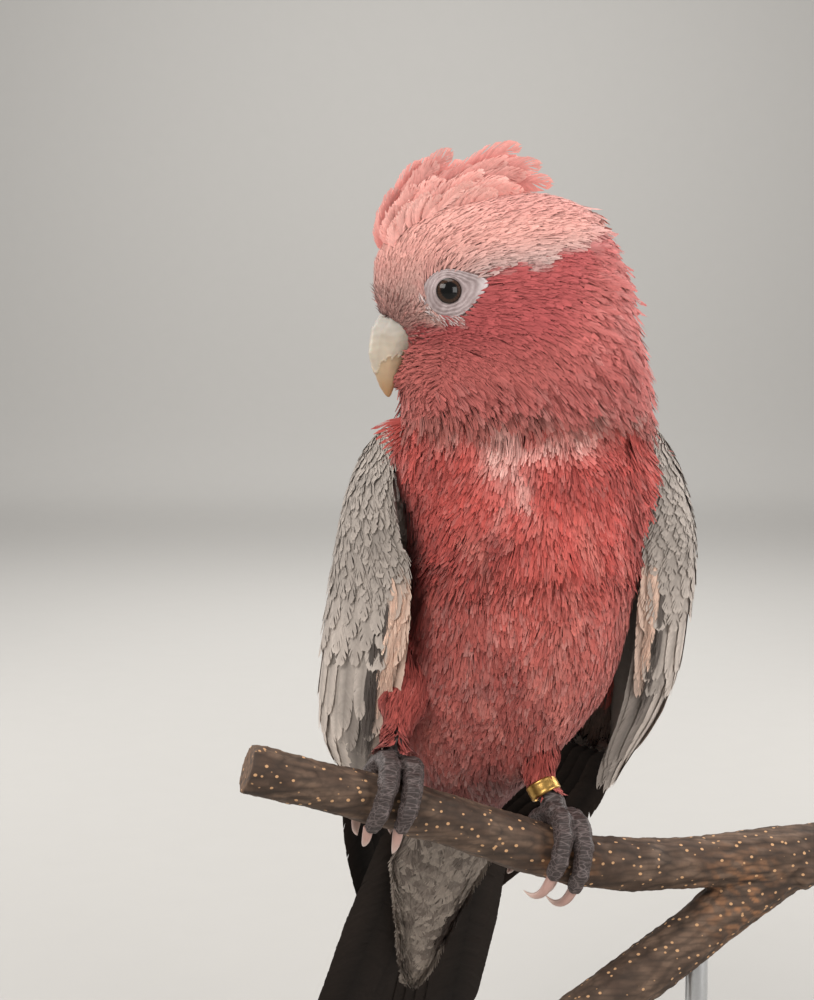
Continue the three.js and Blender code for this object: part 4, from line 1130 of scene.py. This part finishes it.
placed(undertailPlant(), "undertail_plumage", vaneMaterial)
tipLines = []
for across in (-1, 0, 1):  # the longest coverts, which round off the end
    ends = [tailRoot + (tailWay * down + tailSide * across * wide - tailBack * 20) * mm
            for down, wide in ((80, 4.5), (106 - 3 * abs(across), 2.6))]
    near, far = settle(under, np.array(ends))[0] - tailBack * 0.3 * mm
    tipLines.append(np.array([near + (far - near) * s for s in np.linspace(0, 1.08, 7)]))
rootTone, tipTone, edgeTone = coverts["tipTones"]
tipPatch = np.array([(0.4, 0.2), (0.5, 0.2), (0.6, 0.2)])
tipPiece = blades("undertailTips", tipLines, [bodyAcross] * 3, coverts["tipWidths"], coverts["tipLook"],
                  rootTone, tipTone, tipPatch, edgeTone)
placed(tipPiece, "undertail_plumage", vaneMaterial)
movePoints(undertailForm, under["points"] - vertexNormals(undertailForm) * 1.0 * mm)
paint(undertailForm, mixed(coverts["skin"], darkTone * 2.5, besideFinger(under["points"])))
placed(undertailForm, "undertail_plumage", vaneMaterial, ("undertail_coverts",))

crest = {  # each layer's order, reach, number and width, then the tones of the longest and the shortest
    "layers": ((0, 1.06, 0, 3.7), (1, 0.86, 14, 3.4), (2, 0.64, 17, 2.7), (3, 0.42, 22, 1.9)),
    "roots": ((0.68, 0.23, 0.21), (0.82, 0.4, 0.35)), "tips": ((0.84, 0.37, 0.33), (0.86, 0.46, 0.4)),
    "edges": ((0.88, 0.46, 0.41), (0.88, 0.52, 0.46)), "clear": 0.5,
    "look": {**bladeLook, "strands": 46, "reach": 0.28, "ruffle": 0.06, "streak": 0.04, "droop": 0.1,
             "outline": "crest", "blunt": 0.7, "notch": 0.015, "cover": 0.8, "shaft": 0.1, "vary": 0.05},
}
crestPlan = np.array((  # forward and height of each root, then of each tip, front to rear, and the lean
    (39.5, 18, 38.5, 33, 0.5), (39, 19.5, 36.5, 37, -2.5), (38, 21, 31.5, 41.5, 2.5), (37.5, 22, 29, 45.5, -1),
    (36, 24, 25, 48, 3), (34, 25.5, 19.6, 49.6, -2), (32, 27, 15.6, 46.6, 2), (30, 28, 12.5, 44, -3),
    (28, 29.5, 5.5, 48, 2.5), (26, 30.5, -3.2, 52.2, -1.5), (24, 31.5, -3.5, 49, 3), (22, 32, -9.6, 46.2, -2.5),
    (20, 32.5, -7, 43, 2.5), (18, 33, -13, 40.6, -1), (16, 33, -8, 37, 3), (14, 33.5, -6, 33.5, -2)))


def crestLine(fan, lean, share, beside):  # one crest feather, springing from the crown
    places = np.linspace(0, 1, len(crestPlan))
    columns = (np.interp(fan, places, crestPlan[:, column]) for column in range(4))
    forward, height, tipForward, tipHeight = columns
    root = inHead(forward - 0.2 * abs(beside), lean * 0.5 + beside, height)
    if beside:
        root = settle(form, [root])[0][0]
    tip = inHead(tipForward, lean + beside * 0.75, tipHeight)
    span = (tip - root) * share
    length = np.linalg.norm(span) / mm
    bow = unit(np.cross(headAcross, span))
    bow = bow * (1 if bow @ (headForward + upward) > 0 else -1)
    arc = ((0, 0), (0.35, 0.08), (0.7, 0.085), (1, 0))
    line = strip([(root + span * s + bow * length * rise * mm) / mm for s, rise in arc], 10)
    ground, facing = settle(form, line)
    above = ((line - ground) * facing).sum(axis=1)
    clear = crest["clear"] * mm * np.linspace(0.4, 1, len(line)) if beside else -1.0
    line = line + facing * np.maximum(clear - above, 0)[:, None] * (np.abs(above) < 12 * mm)[:, None]
    return line, bow + headAcross * 0.35 * math.copysign(1, lean)


crestRoots, crestSides, crestOut, crestWide, crestTone = [], [], [], [], []
for layer, scale, number, wide in crest["layers"]:
    if not layer:
        plan = [(fan, row[4], 0) for fan, row in zip(np.linspace(0, 1, len(crestPlan)), crestPlan)]
    else:
        plan = [(fan, dice.normal(0, 0.8), hand * (0.4 + 2.3 * layer))
                for hand in (-1, 1) for fan in np.linspace(0, 1, number) + dice.normal(0, 0.02, number)]
    for fan, lean, beside in plan:
        vary = dice.uniform(0.97, 1.02) if not layer else dice.uniform(0.85, 1.12)
        line, bow = crestLine(min(max(fan, 0), 1), lean, scale * vary, beside)
        crestRoots.append(line)
        crestSides.append(bow)
        crestOut.append(headAcross * (math.copysign(1, beside) if beside else -1))
        crestWide.append(wide * dice.uniform(0.92, 1.08))
        crestTone.append(layer / 3)
crestTone = np.array(crestTone)
crestPatch = np.column_stack([np.linspace(0.03, 0.97, len(crestRoots)), np.full(len(crestRoots), 0.9)])
rootTone, tipTone, edgeTone = (mixed(*crest[part], crestTone) for part in ("roots", "tips", "edges"))
crestFray = (0.03 + 0.09 * crestTone ** 2)[:, None, None]
crestPiece = blades("crestFeathers", crestRoots, crestSides, crestWide, {**crest["look"], "fray": crestFray},
                    rootTone, tipTone, crestPatch, edgeTone, crestOut)
placed(crestPiece, "crest_plumage", downMaterial, ("crest",))
print("flight feathers, tail and crest done")


def flakeLine(forward):  # the jagged edge where the bill's old outer layer ends
    line = np.interp(forward, (30, 38, 41, 42, 43.5, 46), (-13.8, -15.8, -16.6, -17.6, -20.8, -19.2))
    return line + 0.55 * np.sin(forward * 2.7 + 0.6) + 0.3 * np.sin(forward * 6.1)


billTones = {"pale": (0.54, 0.46, 0.37), "top": (0.42, 0.4, 0.365), "warm": (0.5, 0.35, 0.22),
             "tip": (0.44, 0.25, 0.12), "flake": (0.78, 0.66, 0.5), "crack": (0.3, 0.2, 0.13)}


def billColour(points):
    forward, across, height = headPlace(points)
    line = flakeLine(forward)
    pale = mixed(billTones["pale"], billTones["top"], fade(-13, -4, height) * 0.8)
    warm = mixed(billTones["warm"], billTones["tip"], fade(-20, -28, height))
    colour = mixed(pale, warm, fade(0.3, -0.3, height - line))
    colour = mixed(colour, billTones["flake"], np.exp(-((height - line - 0.25) / 0.35) ** 2) * 0.85)
    colour = mixed(colour, billTones["crack"], np.exp(-((height - line + 0.45) / 0.3) ** 2) * 0.45)
    return colour * (1 + 0.05 * mottle(points, 2.5 * mm, 44))[:, None]


for node, name in (("bill_upper", "upperBill"), ("bill_lower", "lowerBill")):
    horn = softened((node,), name, 0.35 * mm, 0.4 * mm, 26)
    points = pointsOf(horn)
    paint(horn, billColour(points))
    forward, across, height = headPlace(points)
    step = 0.38 * fade(-0.3, 0.3, height - flakeLine(forward)) if node == "bill_upper" else 0
    ridges = 0.03 * np.sin(height * 2.6 + 0.8 * np.sin(forward)) + 0.05 * mottle(points, 4 * mm, 41) + step
    movePoints(horn, points + vertexNormals(horn) * (ridges * mm)[:, None])
    placed(horn, "bill_horn", hornMaterial, (node,))


eye = {"radius": 5.2, "pupil": 2.75, "iris": 3.75, "opening": 3.95, "black": (0.0022, 0.002, 0.002),
       "browns": ((0.028, 0.013, 0.008), (0.062, 0.03, 0.016)), "rim": (0.008, 0.006, 0.005)}
# grooves and ridges: painted shade in the ring's fold grooves and a painted highlight on its ridges
lids = {"rings": 24, "folds": 4.2, "depth": 0.12, "grooves": (0.27, 0.2, 0.198), "ridges": (0.5, 0.41, 0.41),
        "inside": (0.1, 0.075, 0.07), "corner": (0.66, 0.58, 0.58)}
darkEye, surface, nodes, links = startMaterial("eyeDark", 0.12, Specular_IOR_Level=0.32)
links.new(paintedColour(nodes), surface.inputs["Base Color"])


def makeEye(side, hand):
    centre = inHead(head["eye"][0], head["eye"][1] * hand, head["eye"][2])
    sideways = headAcross * hand
    bpy.ops.object.select_all(action="DESELECT")
    bpy.ops.mesh.primitive_uv_sphere_add(segments=64, ring_count=48, radius=eye["radius"] * mm, location=centre)
    ball = bpy.context.active_object
    ball.name = f"{side}Eye"
    bpy.ops.object.transform_apply(location=True, rotation=True, scale=True)
    bpy.ops.object.shade_smooth()
    points = pointsOf(ball)
    away = (points - centre) / mm
    reach = np.hypot(away @ headForward, away[:, 2])
    rays = np.arctan2(away[:, 2], away @ headForward)
    iris = mixed(*eye["browns"], 0.5 + 0.5 * np.sin(rays * 23))
    colour = mixed(eye["black"], iris, fade(eye["pupil"] - 0.12, eye["pupil"] + 0.12, reach))
    paint(ball, mixed(colour, eye["rim"], fade(eye["iris"] - 0.2, eye["iris"] + 0.1, reach)))
    placed(ball, "eye", darkEye, (f"eye_{side}",))
    makeLid(side, centre, sideways)


def makeLid(side, centre, sideways):  # the bare ring, folded in circles round the eye
    bpy.ops.object.select_all(action="DESELECT")
    turn = Vector(sideways).to_track_quat("Z", "Y").to_euler()
    outerRadius = bareRing["radius"]
    bpy.ops.mesh.primitive_circle_add(vertices=96, radius=outerRadius * mm, fill_type="NGON",
                                      location=centre, rotation=turn)
    lid = bpy.context.active_object
    lid.name = f"{side}Lid"
    bpy.ops.object.mode_set(mode="EDIT")
    band = (outerRadius - eye["opening"]) / lids["rings"] * mm
    for ring in range(lids["rings"]):
        bpy.ops.mesh.inset(thickness=band)
    bpy.ops.mesh.inset(thickness=0.1 * mm, depth=-0.5 * mm)
    bpy.ops.mesh.inset(thickness=0.3 * mm, depth=-1.0 * mm)
    bpy.ops.mesh.delete(type="FACE")
    bpy.ops.object.mode_set(mode="OBJECT")
    bpy.ops.object.transform_apply(location=True, rotation=True, scale=True)
    points = pointsOf(lid)
    away = (points - centre) / mm
    ahead, above, out = away @ headForward, away[:, 2], away @ sideways
    reach = np.hypot(ahead, above)
    angle = np.arctan2(above, ahead)
    outward = ((reach - eye["opening"]) / (outerRadius - eye["opening"])).clip(0, 1)
    wide = reach + outward * outerRadius * (cornerStretch(ahead, above) - 1)
    ahead, above = ahead / reach * wide, above / reach * wide - bareRing["drop"] * outward
    flat = centre + (headForward * ahead[:, None] + upward * above[:, None]) * mm
    hits = [form["tree"].ray_cast(Vector(spot + sideways * 0.03), Vector(-sideways), 0.05)[0] for spot in flat]
    ground = np.array([(np.array(hit) - centre) @ sideways / mm if hit else 2.0 for hit in hits])
    rim = math.sqrt(eye["radius"] ** 2 - eye["opening"] ** 2) + 0.12
    height = rim + (ground - 0.35 - rim) * fade(-0.1, 0.95, outward) + out
    wobble = 0.16 * np.sin(angle * 3 + 1) + 0.14 * mottle(flat, 2 * mm, 53)
    folds = np.cos(2 * math.pi * (lids["folds"] * outward ** 0.85 + wobble))
    height = height + lids["depth"] * folds * fade(0.02, 0.12, outward)
    height = height + 0.2 * np.exp(-((outward - 0.1) / 0.07) ** 2)
    height = height + 0.05 * mottle(flat, 0.9 * mm, 52) * outward - 0.6 * fade(0.93, 1, outward)
    movePoints(lid, flat + sideways * (height * mm)[:, None])
    # painted shade in the grooves and painted highlight on the ridges, following the folds
    tone = mixed(lids["grooves"], lids["ridges"], 0.5 + 0.24 * folds + 0.2 * mottle(flat, 1.5 * mm, 51))
    tone = mixed(tone, lids["inside"], fade(0.07, 0.0, outward))
    paint(lid, mixed(tone, lids["corner"], fade(8.0, 11.5, -ahead)))
    bpy.ops.object.mode_set(mode="EDIT")
    bpy.ops.mesh.select_all(action="SELECT")
    bpy.ops.mesh.normals_make_consistent(inside=False)
    bpy.ops.object.mode_set(mode="OBJECT")
    applied(lid, "SUBSURF", levels=1, render_levels=1)
    bpy.ops.object.shade_smooth()
    placed(lid, "face_plumage", lidMaterial)


for side, hand in (("left", -1), ("right", 1)):
    makeEye(side, hand)
print("bill and eyes done")


perch = {
    "main": ((-89, -39.5, 175.8), (-62.4, -32.1, 167.4), (-36.3, -25, 158.8), (-8, -17.4, 147.6),
             (16, -10.9, 138.2), (38.1, -4.9, 133.2), (59.5, 1, 131.7), (88.1, 8.7, 131.1), (124, 18.4, 131.9)),
    "lower": ((103, 12.8, 129), (84, 7.6, 118.4), (66.6, 2.9, 106), (45.4, -2.9, 92.7), (20, -9.8, 77)),
    "knots": ((58, -2.2), (117, -1.9), (150, 2.6), (205, -2.4)),  # how far along, and the turn round the limb
    "scars": (((17, -16, 137), 9), ((82, -6, 121), 13)),
    "bark": ((0.075, 0.046, 0.032), (0.16, 0.104, 0.072)), "furrow": (0.05, 0.033, 0.024),
    "scar": (0.36, 0.17, 0.08), "knot": (0.19, 0.13, 0.095),
    "rings": ((0.2, 0.115, 0.07), (0.13, 0.075, 0.045)),
}


def limbPlace(points, line):  # how far along a limb each place is, and how far off its middle
    curve = spline(np.array(line, float), np.linspace(0, 1, 120))
    away = np.linalg.norm(points[:, None] / mm - curve[None], axis=2)
    nearest = away.argmin(axis=1)
    return nearest / 119, away[np.arange(len(points)), nearest], curve[nearest]


def makePerch():
    wood = softened(("perch_branch",), "perchBranch", 0.0, 0.8 * mm, 5)
    points, normals = pointsOf(wood), vertexNormals(wood)
    mainAlong, mainAway, mainSpot = limbPlace(points, perch["main"])
    lowAlong, lowAway, lowSpot = limbPlace(points, perch["lower"])
    onMain = mainAway < lowAway
    along = np.where(onMain, mainAlong * 222, 300 + lowAlong * 100)
    away = points / mm - np.where(onMain[:, None], mainSpot, lowSpot)
    angle = np.arctan2(away[:, 2], away[:, 1])
    furrows = np.sin(angle * 13 + 1.2 * np.sin(along * 0.09) + 2.4 * mottle(points, 16 * mm, 60))
    rough = 0.1 * furrows + 0.2 * mottle(points, 5 * mm, 61) + 0.1 * mottle(points, 2.2 * mm, 62)
    knots = sum(np.exp(-((along - place) / 5) ** 2 - ((np.sin((angle - turn) / 2)) / 0.3) ** 2)
                for place, turn in perch["knots"])
    cut = fade(0.75, 0.9, -normals[:, 0]) * (mainAlong < 0.03) * onMain
    movePoints(wood, points + normals * ((rough * (1 - cut) + 0.9 * knots) * mm)[:, None])
    scars = sum(np.exp(-((points - np.array(place) * mm) ** 2).sum(axis=1) / (wide * mm) ** 2)
                for place, wide in perch["scars"])
    scars = (scars * fade(-0.2, 0.5, mottle(points, 3 * mm, 64)) * 1.2).clip(0, 0.8)
    tone = mixed(*perch["bark"], fade(-0.8, 0.9, mottle(points, 12 * mm, 63)))
    tone = mixed(tone, perch["furrow"], fade(0.2, -0.9, furrows) * 0.5)
    tone = mixed(mixed(tone, perch["scar"], scars), perch["knot"], (knots * 0.6).clip(0, 0.7))
    paint(wood, mixed(tone, mixed(*perch["rings"], 0.5 + 0.5 * np.sin(mainAway * 5.5)), cut))
    placed(wood, "bark", barkMaterial, ("perch_branch",))


makePerch()
print("perch done")


claws = {  # the middle line of each claw, from its toe to its point, in millimetres
    "right_front_outer": ((-49.6, -36.4, 155.6), (-50.2, -36, 152.2), (-51, -34.8, 149.6),
                          (-51.6, -32.8, 148.2)),
    "right_front_inner": ((-39.8, -36.4, 155), (-40.4, -36.6, 151.2), (-41.2, -35.8, 148), (-41.9, -34, 146)),
    "right_back_inner": ((-41.4, -15.2, 156), (-42.4, -15, 152), (-42.9, -16.2, 149.4), (-42.6, -18.6, 148)),
    "right_back_outer": ((-53.7, -20.7, 156.6), (-54.3, -21.6, 152.8), (-54.3, -23.6, 150.4),
                         (-53.6, -26, 149.8)),
    "left_front_outer": ((20, -18.2, 129.2), (18, -18.2, 125.6), (15.4, -17, 123.4), (12.8, -14.8, 123.2),
                         (10.8, -12.2, 124.8)),
    "left_front_inner": ((12, -22.6, 134.4), (10, -23.4, 130.6), (7.6, -22.8, 128.2), (5, -20.8, 127.4),
                         (2.8, -18.2, 128.4)),
    "left_back_inner": ((3.7, -2.8, 137.8), (1.6, -2.6, 133.9), (-0.3, -4.3, 131.8), (-1.5, -7.2, 131.2),
                        (-2.2, -10, 131.8)),
    "left_back_outer": ((15.9, -1.7, 130.2), (14.4, -2.9, 126.4), (13, -5.3, 124.9), (12.2, -8.3, 125.1),
                        (11.4, -11, 126.6)),
}
clawShape = {"thick": 1.75, "taper": (1, 0.98, 0.86, 0.64, 0.34, 0.05), "root": (0.44, 0.27, 0.23),
             "tip": (0.62, 0.46, 0.4)}


def makeClaw(toe, line):
    bpy.ops.object.select_all(action="DESELECT")
    bpy.ops.curve.primitive_nurbs_path_add()
    claw = bpy.context.active_object
    claw.name = "claw" + toe.title().replace("_", "")
    route = strip(line, 5)
    claw.data.splines.clear()
    line = claw.data.splines.new("NURBS")
    line.points.add(len(route) - 1)
    for point, place, wide in zip(line.points, route, clawShape["taper"]):
        point.co = (*place, 1)
        point.radius = wide
    line.use_endpoint_u = True
    line.order_u = 3
    claw.data.bevel_depth = clawShape["thick"] * mm
    claw.data.bevel_resolution = 5
    claw.data.resolution_u = 6
    claw.data.use_fill_caps = True
    selectOnly(claw)
    bpy.ops.object.convert(target="MESH")
    claw = bpy.context.active_object
    bpy.ops.object.transform_apply(location=True, rotation=True, scale=True)
    bpy.ops.object.shade_smooth()
    points = pointsOf(claw)
    toTip = np.linalg.norm(points - route[-1], axis=1) / np.linalg.norm(route[0] - route[-1])
    paint(claw, mixed(clawShape["tip"], clawShape["root"], fade(0.1, 0.8, toTip)))
    return placed(claw, "claw_horn", clawMaterial, (f"claw_{toe}",))


feet = {"scuteStep": 1.6, "scuteHeight": 0.3, "swell": 0.3, "groove": (0.1, 0.074, 0.07),
        "scute": (0.04, 0.029, 0.027)}
for side in ("right", "left"):
    foot = softened((f"foot_{side}",), f"{side}Foot", 0.15 * mm, 0.5 * mm, 5)
    points = pointsOf(foot)
    _, away, spot = limbPlace(points, perch["main"])
    offset = points / mm - spot
    around = np.arctan2(offset[:, 2], offset[:, 1]) * 13  # along the toes, which bend round the branch
    onToe = fade(20, 17, away)
    wave = around / feet["scuteStep"] + 0.3 * mottle(points, 3.5 * mm, 81) + 0.2 * mottle(points, 1.8 * mm, 82)
    bead = np.sqrt(np.clip(1 - (2 * (wave % 1) - 1) ** 2, 0, 1))
    rise = (bead - 0.6) * feet["scuteHeight"] * onToe + feet["swell"] * mottle(points, 4 * mm, 83)
    movePoints(foot, points + vertexNormals(foot) * (rise * mm)[:, None])
    paint(foot, mixed(feet["groove"], feet["scute"], fade(0.25, 0.75, bead) * onToe + 0.6 * (1 - onToe)))
    placed(foot, "foot_skin", scaleMaterial, (f"foot_{side}",))
for toe, line in claws.items():
    makeClaw(toe, line)
print("feet done")


ring = {"lip": 0.045, "lipPlace": 0.4, "lipWidth": 0.09}


def makeRing():  # a smooth half-round band on the shank, with rolled lips
    rough = copyOf(("leg_ring",), "legRing")
    points = pointsOf(rough)
    middle = (points.max(axis=0) + points.min(axis=0)) / 2
    axis = np.linalg.svd(points - middle)[2][2]
    rise = (points - middle) @ axis
    off = np.linalg.norm((points - middle) - rise[:, None] * axis, axis=1)
    bpy.data.objects.remove(rough)
    inner, outerEdge, tall = off.min(), off.max(), rise.max() - rise.min()
    bpy.ops.object.select_all(action="DESELECT")
    bpy.ops.mesh.primitive_torus_add(major_segments=72, minor_segments=32, major_radius=(inner + outerEdge) / 2,
                                     minor_radius=(outerEdge - inner) / 2, location=middle,
                                     rotation=Vector(axis).to_track_quat("Z", "Y").to_euler())
    band = bpy.context.active_object
    band.name = "legRing"
    bpy.ops.object.transform_apply(location=True, rotation=True, scale=True)
    spread = pointsOf(band)
    rise = (spread - middle) @ axis
    spread = spread + axis * (rise * (tall / (outerEdge - inner) - 1))[:, None]
    rise = (spread - middle) @ axis
    outwardWay = (spread - middle) - rise[:, None] * axis
    lip = ring["lip"] * np.exp(-((np.abs(rise) / tall - ring["lipPlace"]) / ring["lipWidth"]) ** 2)
    movePoints(band, spread + outwardWay * lip[:, None])
    bpy.ops.object.shade_smooth()
    return band


placed(makeRing(), "ring_brass", brassMaterial, ("leg_ring",))
for node, name, material, slot in (("stand_base", "standBase", boardMaterial, "stand_board"),
                                   ("stand_rod", "standRod", steelMaterial, "stand_steel"),
                                   ("stand_collar", "standCollar", steelMaterial, "stand_steel")):
    piece = copyOf((node,), name)
    applied(piece, "BEVEL", width=0.4 * mm, segments=3, limit_method="ANGLE")
    bpy.ops.object.shade_smooth_by_angle(angle=math.radians(40))
    placed(piece, slot, material, (node,))
print("ring and stand done")


bpy.ops.object.select_all(action="DESELECT")
bpy.ops.mesh.primitive_plane_add(size=4, location=(0, 0.6, 0))
floor = bpy.context.active_object
floor.name = "floor"
bpy.ops.object.mode_set(mode="EDIT")
bpy.ops.mesh.select_all(action="DESELECT")
bpy.ops.object.mode_set(mode="OBJECT")
for edge in floor.data.edges:
    edge.select = all(floor.data.vertices[corner].co.y > 1 for corner in edge.vertices)
bpy.ops.object.mode_set(mode="EDIT")
bpy.ops.mesh.select_mode(type="EDGE")
for rise in ((0, 0.25, 0.12), (0, 0.12, 0.3), (0, 0, 2.4)):  # the far edge turns up into a wall
    bpy.ops.mesh.extrude_region_move(TRANSFORM_OT_translate={"value": rise})
bpy.ops.object.mode_set(mode="OBJECT")
bpy.ops.object.transform_apply(location=True, rotation=True, scale=True)
applied(floor, "SUBSURF", levels=3, render_levels=3)
bpy.ops.object.shade_smooth()
floor.data.materials.append(floorMaterial)


def softLight(name, place, target, size, power, colour):
    lamp = bpy.data.lights.new(name, "AREA")
    lamp.shape = "RECTANGLE"
    lamp.size, lamp.size_y = size
    lamp.energy = power
    lamp.color = colour
    holder = bpy.data.objects.new(name, lamp)
    holder.location = place
    holder.rotation_euler = (Vector(target) - Vector(place)).to_track_quat("-Z", "Y").to_euler()
    bpy.context.collection.objects.link(holder)


chest = (0, 0, 0.25)
lamps = {  # where each stands, what it faces, its size, power and colour
    "keyLight": ((-0.75, -0.95, 1.15), chest, (0.9, 0.7), 15.5, (1, 0.97, 0.93)),
    "fillLight": ((1.1, -0.8, 0.55), chest, (0.8, 0.8), 9.5, (1, 0.98, 0.96)),
    "topLight": ((0.1, 0.1, 1.3), chest, (0.8, 0.8), 6, (1, 0.98, 0.95)),
    "leftEdgeLight": ((-0.95, 0.55, 0.7), chest, (0.5, 0.9), 6, (1, 0.98, 0.95)),
    "rightEdgeLight": ((0.95, 0.5, 0.6), chest, (0.5, 0.9), 7, (1, 0.98, 0.95)),
    "backdropLight": ((0, 1.2, 1.6), (0, 2.6, 0.0), (1.8, 0.6), 40, (1, 0.99, 0.97)),
}
for name, setting in lamps.items():
    softLight(name, *setting)
world = bpy.data.worlds.new("studio")
bpy.context.scene.world = world
world.use_nodes = True
world.node_tree.nodes["Background"].inputs["Color"].default_value = (1, 0.98, 0.96, 1)
world.node_tree.nodes["Background"].inputs["Strength"].default_value = 0.35

view = {"place": (-0.037, -0.488, 0.288), "down": math.radians(3.19), "lens": 33.6, "sensor": 24}
camera = bpy.data.cameras.new("camera")
camera.sensor_fit = "VERTICAL"
camera.sensor_height = view["sensor"]
camera.lens = view["lens"]
camera.clip_start = 0.01
cameraHolder = bpy.data.objects.new("camera", camera)
cameraHolder.location = view["place"]
cameraHolder.rotation_euler = (math.pi / 2 - view["down"], 0, 0)
bpy.context.collection.objects.link(cameraHolder)
bpy.context.scene.camera = cameraHolder
bpy.context.scene.view_settings.view_transform = "Standard"

bpy.context.view_layer.update()
